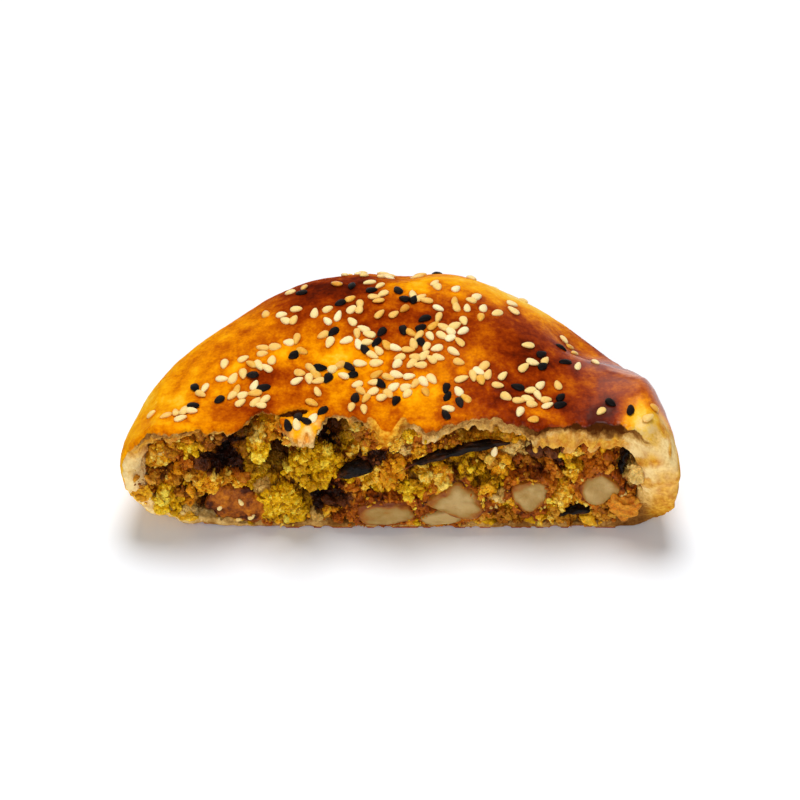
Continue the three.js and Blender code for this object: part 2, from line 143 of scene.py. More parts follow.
PEA_SHADE = {"skin": (0.55, 0.95), "uneven": 0.12, "dark": 0.65, "patch": 0.3}
# Strips: both ends, the bow between them, the half sizes of their section across and through the face,
# and how blunt their ends are
AUBERGINES = [
    ((0.2, 0.6, 18), (26.4, 1.4, 27), 1.6, (1.5, 2.2), 1.6),
    ((-15.4, 0.8, 16.4), (-6.4, 0.6, 18.6), 0.8, (2.3, 2.6), 4),
    ((38.4, 0.4, 3.6), (47.4, 0.4, 7), 0.4, (1.2, 2.4), 3),
    ((53.6, 0.6, 16.4), (55, 1.4, 25.4), 0.4, (1.2, 2.4), 3),
]
STRIP = {"wave": 0.35, "fat": 0.66, "uneven": 0.3, "taper": 0.2, "crumple": 0.5, "stretch": (0.6, 1, 1)}
STRIP_SHADE = {"level": 0.26, "start": 0.6, "along": (0.3, 1), "patch": 0.4}
# The piece of browned pastry: middle, half sizes and turn, then the sides of its outline,
# each as its direction in degrees from its middle and its share of the way out
FRAGMENT = ((-38.8, 0.4, 7.4), (7.4, 2, 5.2), -8)
FRAGMENT_SIDES = [(98, 0.9), (34, 0.72), (-24, 0.98), (-90, 0.9), (182, 0.92)]
FRAGMENT_FORM = {"corner": 24, "rag": 0.13, "wider": (1.12, 1, 1.16), "out": 0.6, "flat": 0.5}
FRAGMENT_RELIEF = {"facet": 0.5, "rough": 0.3, "fold": 0.14, "fold_slope": 0.3}
FRAGMENT_SHADE = {"level": 0.42, "right": 0.5, "edge": 0.3, "low": 0.22, "patch": 0.3}

# Sesame seeds and the patches that they were sprinkled in: middle, spread along X and Y,
# how many are laid first, and how many are light and dark in all
SEED = {"size": (3.3, 2, 1.25), "taper": 0.3, "sunk": 0.34, "vary": (0.86, 1.1), "tilt": 0.12, "step": 0.5}
# Seed tones: how their shades spread, and a painted shade on each seed's underside that darkens the light
# seeds and lightens the dark ones
SEED_SHADE = {"spread": (1.6, 2.6), "shaded_underside": 0.35, "shaded_underside_z": (0.1, -0.6)}
# The two rounds of sprinkling: draw, least distance between seeds, and how much wider the patches are
ROUNDS = [(29, 1.8, 1), (53, 1.7, 1.5)]
SPRINKLE = {"edge_clear": 1.2, "rim": 0.95, "tries": 30, "crack_clear": 1.5}
PATCHES = [
    (-13, 32, (8, 9), 9, (10, 2)),
    (-16, 24, (8, 4), 3, (3, 0)),
    (-6.5, 22, (5, 6), 9, (8, 3)),
    (-17.5, 15.5, (10, 4), 11, (10, 4)),
    (-22, 1.2, (6, 7), 8, (6, 4)),
    (-8.5, 7.5, (6, 5), 4, (4, 1)),
    (-52.5, 5, (7, 5), 5, (6, 1)),
    (-39, 9, (12, 8), 13, (13, 4)),
    (-34, 18, (8, 8), 6, (8, 0)),
    (-30, 32, (16, 13), 5, (6, 0)),
    (-4, 42, (7, 6), 4, (2, 2)),
    (7, 35, (9, 10), 8, (8, 1)),
    (4, 24.5, (7, 8), 10, (9, 3)),
    (12.5, 24, (9, 7), 8, (9, 0)),
    (21, 33, (8, 9), 5, (6, 0)),
    (20, 13, (8, 4), 7, (9, 0)),
    (14, 6.5, (6, 6), 6, (3, 4)),
    (1, 12, (8, 8), 13, (15, 2)),
    (37, 19, (12, 5), 6, (4, 3)),
    (32.5, 8, (10, 7), 11, (11, 3)),
    (51, 3.5, (12, 6), 4, (3, 2)),
    (44, 29, (11, 10), 3, (3, 1)),
    (0, 54, (44, 14), 10, (16, 2)),
    (-2, 24, (42, 22), 0, (29, 4)),
]

# Browning of the top: middle, reach along X and Y, and how much darker or lighter it is there
BROWNING_LEVEL = (0.55, 0.75)
BROWNING_RISE = (8, 28)
BROWNING = [
    (-17, 43, 15, 11, 0.46),
    (4, 31, 11, 7, 0.26),
    (-9, 27, 5, 4, 0.14),
    (33, 25, 10, 7, 0.12),
    (46, 3, 8, 6, 0.26),
    (58, 1, 5, 4, -0.28),
    (2, 42, 9, 7, -0.26),
    (39, 12, 5, 4, -0.12),
    (26, 50, 9, 9, -0.45),
    (38, 46, 10, 9, -0.3),
    (-50, 10, 8, 7, -0.2),
    (-56, 1, 10, 4, -0.2),
    (-31, 20, 7, 4, -0.24),
    (-12, 17, 8, 4, -0.22),
    (5, 10, 8, 4, -0.24),
    (-24, 8, 8, 4, 0.14),
    (-38, 4, 6, 3, 0.2),
    (-30, 14, 5, 3, 0.2),
    (-50, 24, 12, 3, 0.12),
    (24, 6, 5, 5, 0.14),
    (30, 18, 8, 6, 0.14),
    (32.5, 2.5, 3.5, 2.5, -0.35),
    (-22.5, -1.5, 5, 4, -0.24),
]
BLOTCHES = ((8, 0.1), (3, 0.04))
STREAKS = {"apart": 2.4, "length": 14, "amount": 0.06}
# Painted light: the skin is lighter near the outline at the left end, standing in for light on that edge
LEFT_RIM_LIGHT = {"out": (0.8, 1), "x": (0, -30), "less": 0.2}
TOASTED_EDGE = {"reach": 3, "amount": 0.16, "size": 6, "row": 3.3, "mean": 0.4}
# Round the seeds: darker pooled glaze and painted shadow, how far it reaches, how dark it is and where on the
# top it begins
SEED_GLAZE_AND_SHADOW = {"reach": 2.1, "amount": 0.18, "z": (20, 26)}
PALE_SIDE = {"z": (26, 13), "uneven": 2.5, "size": 9, "share": 0.75, "level": 0.16, "folds": 0.3}
PALE_SHOULDER = {"x": (50, 58), "y": (10, 0), "z": (42, 36), "less": 0.1}
UNDERSIDE = {"z": (2, 0.5), "level": 0.7}
# Egg wash: its shares on the left and on the right, and more of it on the right shoulder
GLAZE = {"shares": (0.03, 0.13), "x": (-5, 25)}
GLAZED_SHOULDER = {"share": 0.8, "middle": (54, 12), "half": (12, 18)}

# Bare dough: where the cheek is, how toasted the dough is and where painted shade darkens it, and where it is
# golden
CHEEK_DOUGH = {"x": (51.5, 56), "y": (5, 0), "z": (38, 29), "uneven": 1.6, "size": 5, "slope": 0.5, "end": 61}
BAND = (22, 27)
# Dough toast, and painted shade in the band beneath the skin's overhang: how dark at the left and right end
# and how far down
DOUGH_TOAST_AND_SHADE = {"level": 0.34, "shade_under_skin": (0.2, 0.75), "right": (24, 38), "depth": (1, 0.35), "flap": 0.4}
TOAST_PATCH = {"amount": 0.16, "size": 5}
# How much darker or lighter the dough of the left band, the left wall and the base is
TOAST_ZONES = [
    (0.06, {"x": THIN_BAND["x"], "z": BAND}),
    (-0.36, {"x": (-50, -57), "z": (32, 26)}),
    (0.2, {"x": (-48, -30), "z": (6, 1)}),
]
# On the cheek: its toast, and darker towards its bottom, partly toasting and partly painted shade
CHEEK_TOAST_AND_SHADE = {"level": 0.02, "low": 0.75, "z": (21, 6)}
CHEEK_FOLDS = {"toast_and_shade": 0.3, "fold": (0.1, 0.5), "z": (6, 20)}
GOLD = {"most": 0.8, "depth": (0.8, 1.2), "uneven": 0.3, "size": 2, "left": 0.55}
GOLDEN_TONGUE = {"x": -3, "half": 4.5, "near": (3, 1.6), "z": (20, 24)}
GOLDEN_FOLDS = {"most": 0.7, "fold": (0.1, 0.4), "z": (10, 24)}
GOLDEN_SIDE = {"most": 0.75, "x": (58.5, 63), "z": (2, 8), "high": (28, 20)}
ORANGE_SPOT = {"x": 60.2, "z": 27.4, "reach": 2.2}

# What the broken face is made of: middle in the face, half width and height of the zone, kind of crumb
# The dark kind of crumb lies in the cavities and gaps of the face: it is painted shade
ZONES = [
    (-57.6, 23, 2, 2, "golden"),
    (-54.5, 25, 3, 3, "ochre"),
    (-49, 23, 2, 2, "green"),
    (-46, 26, 4, 3, "ochre"),
    (-55, 19, 3, 2, "rust"),
    (-53, 15, 4, 4, "ochre"),
    (-58, 10, 3, 3, "golden"),
    (-55, 7, 3, 2, "green"),
    (-53, 4, 4, 2, "pale"),
    (-49, 11, 3, 4, "ochre"),
    (-46, 15, 4, 3, "golden"),
    (-39, 26, 3, 3, "dark"),
    (-43, 19, 3, 3, "dark"),
    (-39, 18, 2, 3, "rust"),
    (-36, 17, 2, 3, "green"),
    (-32, 22, 4, 4, "green"),
    (-31, 26, 4, 2, "golden"),
    (-24, 27, 4, 3, "golden"),
    (-21, 19, 6, 5, "green"),
    (-13.5, 19.5, 2, 2, "golden"),
    (-17, 13.5, 3, 1.5, "rust"),
    (-28, 12, 4, 3, "green"),
    (-33, 12, 2, 2, "pale"),
    (-26, 6, 4, 3, "green"),
    (-19, 9.5, 4, 2.5, "dark"),
    (-13, 9, 3, 2.5, "dark"),
    (-19, 4.5, 2, 2, "pale"),
    (-11, 5, 4, 4, "rust"),
    (-8, 11, 4, 2, "rust"),
    (-18, 28, 3, 3, "dark"),
    (-12, 26, 3, 4, "ochre"),
    (-6, 25, 3, 3, "rust"),
    (-4, 28.5, 3, 2, "golden"),
    (-4, 20.5, 4, 1.5, "dark"),
    (-1.5, 16.5, 4, 3, "golden"),
    (2, 29, 4, 1.5, "green"),
    (3, 25, 3, 2, "ochre"),
    (7, 25.5, 2, 2, "rust"),
    (11.5, 26, 4, 1.5, "golden"),
    (5, 20.5, 2.5, 2, "golden"),
    (4.5, 12.5, 4, 3, "green"),
    (11, 16, 3, 3, "golden"),
    (16.5, 17.5, 3, 3, "green"),
    (21, 19, 3, 2, "ochre"),
    (25, 17.5, 4, 2, "golden"),
    (22.6, 13.5, 3, 2, "green"),
    (29, 14.5, 3, 2, "green"),
    (26, 25.5, 3, 1.5, "golden"),
    (30, 24, 3, 2, "pale"),
    (37, 23, 4, 2.5, "dark"),
    (42, 22.5, 3, 2, "green"),
    (47, 21.5, 4, 3, "rust"),
    (34, 18, 3, 2.5, "ochre"),
    (39, 17.5, 3, 2, "rust"),
    (42, 14.5, 4, 3, "golden"),
    (40, 11, 3, 2, "golden"),
    (23, 10, 2, 3, "pale"),
    (25, 5, 4, 4, "ochre"),
    (30, 3, 4, 2, "ochre"),
    (36.5, 5.5, 3, 3, "golden"),
    (42.5, 2, 4, 1.5, "ochre"),
    (53, 5, 5, 4, "ochre"),
    (58, 12, 2, 3, "rust"),
    (59, 6, 2, 4, "dark"),
    (57, 17, 2.5, 4, "pale"),
]
ZONE_EDGE = 0.35
# Fluffy masses of crumb that stand out of the broken face: middle, half width and height, turn in degrees,
# how far they stand out and their kind of crumb
MASSES = [
    (-20.5, 18.5, 6.6, 6.2, -20, 1.5, "green"),
    (-28.7, 9.5, 5.6, 5.2, 30, 1.4, "green"),
    (-46.3, 14, 3.9, 3.6, 10, 1.4, "golden"),
    (-57, 9, 3, 4, 20, 1.0, "green"),
    (-57.6, 24, 1.6, 2.6, 0, 0.8, "golden"),
    (-49.5, 24, 1.7, 2.3, 0, 0.8, "green"),
    (-33.4, 23.5, 2.6, 3.2, 0, 0.8, "green"),
    (-24.5, 27.5, 3.6, 2.4, 0, 0.6, "golden"),
    (-2.2, 16.5, 3.9, 4.3, -10, 1.4, "golden"),
    (4.1, 11.5, 3.2, 3.9, -30, 1.3, "green"),
    (4.8, 21.7, 2.3, 1.2, 38, 1.0, "golden"),
    (10.7, 15.8, 2.6, 3, 40, 1.3, "golden"),
    (16.4, 18.2, 2.1, 2.7, 0, 1.2, "green"),
    (21.6, 12.4, 2.1, 2.3, 0, 1.0, "golden"),
    (28.3, 14.6, 1.8, 1.8, 0, 1.0, "green"),
    (40.2, 10, 2.2, 4, -20, 1.0, "golden"),
    (42, 23.3, 2.8, 1.7, -10, 1.2, "golden"),
    (54.4, 5.6, 4, 4.6, 0, 1.0, "rust"),
]
# The edges of the masses, and the clumps that all of the face is made of
MASS_EDGE = {"rag": ((1.3, 0.26), (0.55, 0.18)), "steep": 0.14, "pure": 0.82, "calm": 0.5}
CLUMP = {"draw": 5, "spacing": 3.0, "size": (1.1, 2.6), "shade": (0.25, 0.75)}
CLUMP_SET = {"forward": (-1.5, 0.9), "tilt": 0.65, "calm": (4, 1)}
CLUMP_RELIEF = {"dome": 0.34, "reach": 1.5, "crevice": 1.3, "border": 0.2, "bend": 0.9, "bend_size": 1.7}
SOCKET = {"depth": 2.6, "reach": (0.98, 0.66)}
GRAIN = {"size": 1.7, "height": 0.75, "shares": (0.6, 0.35, 0.2)}
FACET = {"jitter": 0.4, "height": 0.6, "tilt": 0.7}
# The paste round the chickpeas: how near to them it lies, and the share of it that stays bare
PASTE = {"level": -1.5, "reach": (1.34, 1.12), "lump": 0.5, "lump_size": 1.6, "bare": 0.6, "edge": 0.2}
FRONT_LIMIT = {"y": -2.1, "uneven": 0.4}
# Painted shade in the cavities: how fast the crumbs' colour darkens with a cavity's depth
CAVITY_PAINTED_SHADE = 0.36
# How much more of the green and blue than of the red the painted shade takes in a cavity
CAVITY_WARM = (1, 1.25, 1.5)
# Tones of the face's crumb: painted light where the grain stands out and on the masses, painted shade in the
# grain's gaps, in the crevices between clumps and in a rim just outside each mass; the patches are uneven
# colour
CORE_SHADE = {"relief": 0.35, "patch": 0.15, "crevice": 0.25, "rim": 0.4, "mass": 0.15}
# Where the painted shade in the rim round each mass begins and ends, as shares of its cover
MASS_RIM_SHADE = {"from": (0, 0.3), "to": (0.7, 0.4)}
# How far the kinds of crumb lean along X and Z as they run into a cavity
CAVITY_LEAN = (0.4, 0.8)
# Crumbs that stick to the dough round the filling: how far from it at the left and the right end,
# and further at the foot of the left end
STUCK = {"reach": (2.6, 0.3), "near": 0.6, "lowest": 1, "end": 4.6, "end_x": (-47, -53), "end_z": (18, 14)}
# Larger lumps that lie in the face: middle, how far it stands out, half sizes, kind and how light it is
LUMPS = [
    (54.4, 7.2, 1.2, (4.8, 2.2, 5), "rust", 0.8),
    (56.7, 21.6, 1.3, (2.1, 1.8, 3.5), "pale", 0.6),
    (-61, 13.5, 0.3, (2.2, 1.4, 2.6), "golden", 0.6),
    (-57.5, 7, 0.4, (2.4, 1.6, 2), "green", 0.7),
    (-59.8, 19, 0.2, (2, 1.5, 2.2), "ochre", 0.6),
    (-52.5, 4.6, 0.2, (2.8, 1.4, 1.3), "golden", 0.7),
]
LUMP_LEVEL = 5
# Loose crumbs: the power that makes more of them small, the mean and spread of how much lighter they are,
# and shares of their size, by which they are sunk in the face, stand out of the dough and keep clear
SCATTER = {"small": 1.3, "lighter": (0.12, 0.14), "sunk": 0.2, "proud": 0.3, "clear": 0.3, "apart": 0.6}
CAVITY_BARE = 0.3
# They come from large to fine: how many, their sizes, and how far they may cover the larger pieces
SCATTERED = [
    {"count": 150, "size": (1.2, 2.4), "draw": 7, "cover": 0.2, "level": 3},
    {"count": 1500, "size": (0.4, 1.3), "draw": 8, "cover": 0.8, "level": 3},
    {"count": 2600, "size": (0.14, 0.36), "draw": 9, "cover": 1.2, "level": 1},
]
# Crumbs on the chickpeas, between these shares of the way out to their outlines
RIM_BITS = {"count": 480, "size": (0.2, 0.6), "draw": 10, "out": (0.84, 1.06), "level": 2}
RIM_LOOK = {"patch": 2.5, "bare": -0.1, "rust": 0.5, "shade": (0.3, 0.8)}
# Loose crumbs stay above this height, and the lower they are, the less far forward they lie
LOWEST = 0.5
BASE_LEAN = 1.15
BASE_CLEAR = {"bit": 1.1, "hollow": 0.6}
# A crumb: flat breaks on its sides, and how uneven and stretched it is
CRUMB = {"varieties": 8, "breaks": 9, "depth": (0.35, 0.8), "flat": 0.85, "swell": 0.34}
CRUMB_LOOK = {"stretch": (0.55, 1.2), "shade": 0.2, "size": 1.1}

# Seeds that lie in the broken face: place, turn in degrees and size
FACE_SEEDS = [
    ((-43.6, -1.2, 7.6), 60, 0.55),
    ((-39.2, -1.3, 3.6), 10, 0.5),
    ((-36, -1.2, 4.4), 35, 0.7),
    ((-38.4, -1.3, 9.4), 120, 0.6),
    ((22.8, -0.6, 25.4), 75, 0.9),
]
FACE_SEED_UP = (0, -0.9, 0.3)

# Kinds of crumb: their colours from dark to light, and what else lies among them
# The dark kind's colours are painted shade for the cavities and gaps
PALETTES = {
    "green": [(84, 46, 0), (190, 130, 0), (238, 184, 4), (255, 228, 84)],
    "golden": [(116, 54, 2), (210, 126, 4), (242, 178, 26), (255, 226, 110)],
    "ochre": [(80, 36, 2), (158, 88, 8), (202, 134, 24), (236, 188, 74)],
    "rust": [(56, 18, 2), (142, 64, 6), (198, 108, 14), (232, 160, 44)],
    "dark": [(30, 13, 7), (56, 27, 14), (90, 44, 18), (140, 78, 28)],
    "pale": [(146, 94, 32), (206, 158, 72), (232, 192, 108), (248, 222, 156)],
}
MIXES = {
    "green": {"green": 0.78, "golden": 0.17, "rust": 0.05},
    "golden": {"golden": 0.78, "green": 0.1, "rust": 0.12},
    "ochre": {"ochre": 0.66, "golden": 0.24, "green": 0.06, "pale": 0.04},
    "rust": {"rust": 0.76, "golden": 0.14, "ochre": 0.06, "dark": 0.04},
    "dark": {"dark": 0.8, "rust": 0.16, "golden": 0.04},
    "pale": {"pale": 0.76, "golden": 0.16, "ochre": 0.08},
}

# How finely the pieces are meshed
AROUND = 240
EDGE_RINGS = 16
DOME_RINGS = 60
CUT_STEP = 0.7
CRUST_STEP = 0.77
FACE_STEP = 0.36
BLOCK = {"beyond": 8, "front": -80, "low": -4, "above": 12}

# The camera in millimetres and degrees, and the lights in metres and watts, in the part's frame:
# place, size, power, colour and the kind of ray that doesn't see the light
CAMERA = {"lens": 100, "sensor": 36, "elevation": 41, "distance": 555.5, "target": (0.26, -3.41, 17.83)}
LIGHTS = {
    "overhead": ((0, 0.22, 0.92), 0.5, 7.4, (1, 1, 1), "glossy"),
    "key": ((-0.16, -0.9, 0.46), 1.1, 5.8, (1, 1, 1), None),
    "card": ((0.55, 0.9, 0.3), 0.8, 0.9, (1, 1, 1), "diffuse"),
    "window": ((-0.32, 0.79, 0.53), 1.06, 2.9, (1, 0.92, 0.78), "diffuse"),
}
LIGHT_TARGET = Vector((0, 0, 0.02))
WORLD_LIGHT = 0.2
FLOOR = {"half": 3.0, "z": -0.0001, "colour": (0.93, 0.96, 1, 1)}


def clamp(value):
    return np.clip(value, 0, 1)


def smoothstep(low, high, value):
    t = clamp((value - low) / (high - low))
    return t * t * (3 - 2 * t)


def bell(value):
    return np.exp(-value * value)


def plateau(value):
    return np.exp(-(value**4))


def mix(pair, share):
    """Runs from the first to the second value as the share goes from 0 to 1."""
    return pair[0] + (pair[1] - pair[0]) * share


def columns(*values):
    return np.stack(values, axis=1)


def within(limits, points):
    """The share of each point in a zone with soft limits along some of the axes."""
    share = 1
    for axis, place in zip("xyz", points.T):
        if axis in limits:
            share = share * smoothstep(*limits[axis], place)
    return share


def turned(u, v, degrees):
    """Places in a plane turned round its origin."""
    angle = math.radians(degrees)
    return u * math.cos(angle) - v * math.sin(angle), u * math.sin(angle) + v * math.cos(angle)


def turned_in_face(points, degrees):
    x, y, z = points.T
    along, up = turned(x, z, degrees)
    return columns(along, y, up)


def whole(value):
    return np.floor(value).astype(np.int64)


def lattice_value(*cell):
    """A fixed value from -1 to 1 for each point of a square or cubic lattice."""
    factors = (374761393, 668265263, 2147483647)
    h = np.zeros(np.shape(cell[0]), np.uint32)
    for axis, factor in zip(cell, factors):
        h = h + np.asarray(axis).astype(np.uint32) * np.uint32(factor)
    h = (h ^ (h >> np.uint32(13))) * np.uint32(1274126177)
    return (h ^ (h >> np.uint32(16))) / 2147483648 - 1


def noise(u, v, size=1):
    """Smooth noise from -1 to 1 with lumps of about this size in a plane."""
    u, v = np.broadcast_arrays(np.asarray(u, float) / size, np.asarray(v, float) / size)
    i, j = whole(u), whole(v)
    s, t = smoothstep(0, 1, u - i), smoothstep(0, 1, v - j)
    low = lattice_value(i, j) * (1 - s) + lattice_value(i + 1, j) * s
    high = lattice_value(i, j + 1) * (1 - s) + lattice_value(i + 1, j + 1) * s
    return low * (1 - t) + high * t


def plane_layers(u, v, layers):
    return sum(height * noise(u, v, size) for size, height in layers)


def space_noise(points, size):
    """Smooth noise from -1 to 1 with lumps of about this size in space."""
    scaled = np.asarray(points) / size
    cell = whole(scaled)
    part = smoothstep(0, 1, scaled - cell)
    total = 0
    for corner in np.ndindex(2, 2, 2):
        weight = np.prod(np.where(corner, part, 1 - part), axis=1)
        total = total + weight * lattice_value(*(cell + corner).T)
    return total


def space_layers(points, layers):
    return sum(height * space_noise(points, size) for size, height in layers)


def rough(points, size, octaves=3):
    return sum(space_noise(points + 17 * k, size / 2**k) / 2**k for k in range(octaves))


def make_random(draw):
    """Draws from 0 to 1 that are the same on every run, as the solids' seeds use."""
    state = draw

    def draw_next():
        nonlocal state
        whole_word = 0xFFFFFFFF
        state = (state + 0x6D2B79F5) & whole_word
        t = state
        t = ((t ^ (t >> 15)) * (t | 1)) & whole_word
        t ^= (t + (((t ^ (t >> 7)) * (t | 61)) & whole_word)) & whole_word
        return (t ^ (t >> 14)) / 4294967296

    return draw_next


# The pie's form
def outline_radius(angle):
    return PIE_RADIUS * (1 - OUTLINE_FLAT * np.sin(2 * angle) ** 2)


def from_left_to_right(sizes, x):
    return mix(sizes, smoothstep(-PIE_RADIUS, PIE_RADIUS, x))


def drawn_in(up):
    """How far the side is drawn in below the girth, as a share, at this share of the way up to it."""
    return 1 - (1 - (1 - up) ** BASE_POWER) ** (1 / BASE_POWER)


def dome_height(x, y, radius, crown):
    share = np.hypot(x, y) / radius
    power = mix(DOME_POWER, smoothstep(*SHOULDER, x))
    return GIRTH_HEIGHT + (crown - GIRTH_HEIGHT) * np.maximum(0, 1 - share * share) ** power


def sink_depth(x, y):
    over_edge = np.maximum(0, dome_height(x, 0, PIE_RADIUS, DOME_HEIGHT) - EDGE_HEIGHT)
    droop = TONGUE_DROOP * np.maximum(0, -y - CRUST_LIP)
    return over_edge * bell(np.maximum(0, y) / SINK_LENGTH) + droop


def top_height(x, y, inset=0.0, thickness=0.0):
    radius = outline_radius(np.arctan2(y, x)) - inset
    dome = dome_height(x, y, radius, DOME_HEIGHT - thickness)
    on_top = smoothstep(0, 1, (dome - GIRTH_HEIGHT) / (EDGE_HEIGHT - GIRTH_HEIGHT))
    relief = sum(height * bell(np.hypot(x - bx, y - by) / reach) for bx, by, reach, height in TOP_RELIEF)
    return dome + on_top * (relief - sink_depth(x, y))


def top_slope(x, y, step):
    """How steeply the top rises along X and along Y."""
    along_x = (top_height(x + step, y) - top_height(x - step, y)) / (2 * step)
    along_y = (top_height(x, y + step) - top_height(x, y - step)) / (2 * step)
    return along_x, along_y


def depth_inside(points):
    """How deep each point lies below the pie's outside."""
    x, y, z = points.T
    angle = np.arctan2(y, x)
    outside = outline_radius(angle)
    round_in = from_left_to_right(BASE_ROUND, outside * np.cos(angle)) * drawn_in(clamp(z / GIRTH_HEIGHT))
    slope_x, slope_y = top_slope(x, y, SKIN_STEP)
    below_top = (top_height(x, y) - z) / np.sqrt(1 + slope_x**2 + slope_y**2)
    return np.minimum(np.minimum(below_top, outside - round_in - np.hypot(x, y)), 2 * z)


def in_hollow(x, y, z, clear):
    """Whether a crumb that reaches this far round its middle stays inside the crust."""
    inset = from_left_to_right(SIDE_CRUST, x) + GAP + clear
    base = BASE_CRUST + GAP
    round_in = from_left_to_right(BASE_ROUND, x) * drawn_in(clamp((z - base) / (GIRTH_HEIGHT - base)))
    wall = outline_radius(np.arctan2(y, x)) - inset - round_in
    top = top_height(x, y, inset, from_left_to_right(TOP_CRUST, x) + GAP + clear)
    return (np.hypot(x, y) < wall) & (z > base + BASE_CLEAR["hollow"] * clear) & (z < top)


def tongue_reach(x):
    return CRUST_LIP + sum(reach * plateau((x - place) / width) for place, width, reach in TONGUES)


def high_up(z):
    """From 0 halfway up the broken side to 1 where the top crust begins."""
    return smoothstep(EDGE_HEIGHT / 2, EDGE_HEIGHT - TOP_CRUST[1], z)


def crust_front(x, z):
    bulge = CHEEK["reach"] * smoothstep(*CHEEK["z"], z) * smoothstep(*CHEEK["x"], x)
    jag = JAG["depth"] * noise(x, z, JAG["size"]) * smoothstep(0, JAG["size"], z)
    return -(CRUST_LIP + high_up(z) * (tongue_reach(x) - CRUST_LIP) + bulge + jag)


def torn_front(x, z):
    front = crust_front(x, z)
    undercut = UNDERCUT["depth"] * smoothstep(*UNDERCUT["below"], top_height(x, front) - z)
    undercut = undercut * high_up(z) * smoothstep(*UNDERCUT["ends"], np.abs(x))
    undercut = undercut * (1 - UNDERCUT["less"] * smoothstep(*UNDERCUT["right"], x))
    return front + undercut + FINE_JAG["depth"] * noise(x, z, FINE_JAG["size"])


def wall_bulge(x, z):
    """How far the torn wall at the left end swells out of the broken face."""
    return WALL_BULGE["out"] * smoothstep(*WALL_BULGE["x"], x) * smoothstep(*WALL_BULGE["z"], z)


def dough_front(x, z):
    """About where the front of the torn dough is, with the swell of its left wall."""
    return torn_front(x, z) - wall_bulge(x, z) - DOUGH_PROUD


def hanging_depth(x):
    """How much further the thick part of the torn band hangs down."""
    return THICK_BAND["more"] * bell((x - THICK_BAND["x"]) / THICK_BAND["half"])


def crack_reach(x, y):
    """How far each place of the top lies from the middle of the crack: 1 on its outline."""
    along, across = turned(x - CRACK["x"], y - CRACK["y"], -CRACK["turn"])
    return np.hypot(along / CRACK["half"][0], across / CRACK["half"][1])


def flap_share(x, y):
    """Near 1 on the flap that hangs from the torn edge."""
    return plateau((x - FLAP["x"]) / FLAP["half"]) * smoothstep(*FLAP["y"], y)


def cavity_depth(x, z):
    total = np.zeros(np.shape(x))
    for cx, cz, width, height, depth in CAVITIES:
        total = total + depth * bell(np.hypot((x - cx) / width, (z - cz) / height))
    return total


def plain_front(x, z):
    """The broken face without its cavities."""
    lean = FACE["lean"] * smoothstep(0, EDGE_HEIGHT, z)
    return FACE["set_back"] + lean + FACE["lump_depth"] * noise(x, z, FACE["lump_size"])
# Meshes
def to_part(points):
    return (np.asarray(points, float) - (0, MIDDLE_TO_ORIGIN, 0)) / 1000


def add_object(name, data):
    piece = bpy.data.objects.new(name, data)
    bpy.context.scene.collection.objects.link(piece)
    return piece


@contextlib.contextmanager
def edited(mesh):
    """The mesh opened for editing, and written back at the end."""
    shape = bmesh.new()
    shape.from_mesh(mesh)
    shape.verts.ensure_lookup_table()
    yield shape
    shape.to_mesh(mesh)
    shape.free()


def mesh_object(name, points, faces):
    """A closed mesh of points in the pie's frame, with its faces turned outwards."""
    mesh = bpy.data.meshes.new(name)
    mesh.from_pydata(to_part(points).tolist(), [], faces)
    with edited(mesh) as shape:
        bmesh.ops.recalc_face_normals(shape, faces=shape.faces)
    return add_object(name, mesh)


def read_vectors(items, field):
    found = np.empty(3 * len(items), np.float32)
    items.foreach_get(field, found)
    return found.reshape(-1, 3).astype(float)


def read_points(piece):
    return 1000 * read_vectors(piece.data.vertices, "co") + (0, MIDDLE_TO_ORIGIN, 0)


def read_normals(piece):
    return read_vectors(piece.data.vertex_normals, "vector")


def write_points(piece, points):
    piece.data.vertices.foreach_set("co", to_part(points).ravel())
    piece.data.update()


def write_layer(piece, name, values):
    """Keeps a number or a colour for each point of a piece."""
    values = np.asarray(values, np.float32)
    kind, field = ("FLOAT", "value") if values.ndim == 1 else ("FLOAT_COLOR", "color")
    layer = piece.data.attributes.new(name, kind, "POINT")
    layer.data.foreach_set(field, values.ravel())


def modify(piece, kind, **settings):
    """Applies one modifier to a piece."""
    modifier = piece.modifiers.new(kind, kind)
    for name, setting in settings.items():
        setattr(modifier, name, setting)
    graph = bpy.context.evaluated_depsgraph_get()
    mesh = bpy.data.meshes.new_from_object(piece.evaluated_get(graph))
    piece.modifiers.clear()
    piece.data = mesh


def cut_away(piece, tool):
    modify(piece, "BOOLEAN", operation="DIFFERENCE", solver="MANIFOLD", object=tool)
    piece.data.materials.clear()
    bpy.data.objects.remove(tool)


def keep_largest(piece):
    """Drops the loose scraps that a jagged cut leaves."""
    ends = np.empty(2 * len(piece.data.edges), np.int32)
    piece.data.edges.foreach_get("vertices", ends)
    first, second = ends.reshape(-1, 2).T
    linked = np.arange(len(piece.data.vertices))
    label = None
    while not np.array_equal(linked, label):
        label = linked
        lowest = np.minimum(label[first], label[second])
        linked = label.copy()
        np.minimum.at(linked, first, lowest)
        np.minimum.at(linked, second, lowest)
        linked = linked[linked]
    names, counts = np.unique(label, return_counts=True)
    loose = np.flatnonzero(label != names[np.argmax(counts)])
    with edited(piece.data) as shape:
        bmesh.ops.delete(shape, geom=[shape.verts[k] for k in loose], context="VERTS")


def hand_over(piece, material, node=None, smooth=True):
    """Gives a finished piece its material and its body, and hides the node that it replaces."""
    piece.data.materials.append(material)
    if smooth:
        piece.data.shade_smooth()
    if node:
        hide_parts(node)
    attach(piece, "root")


def ring_faces(rings, around):
    """Faces of a body from a lowest point, rings of points and a highest point."""
    last = 1 + rings * around

    def at(ring, k):
        return 1 + ring * around + k % around

    faces = []
    for k in range(around):
        faces.append((0, at(0, k + 1), at(0, k)))
        faces.extend((at(r, k), at(r, k + 1), at(r + 1, k + 1), at(r + 1, k)) for r in range(rings - 1))
        faces.append((last, at(rings - 1, k), at(rings - 1, k + 1)))
    return faces


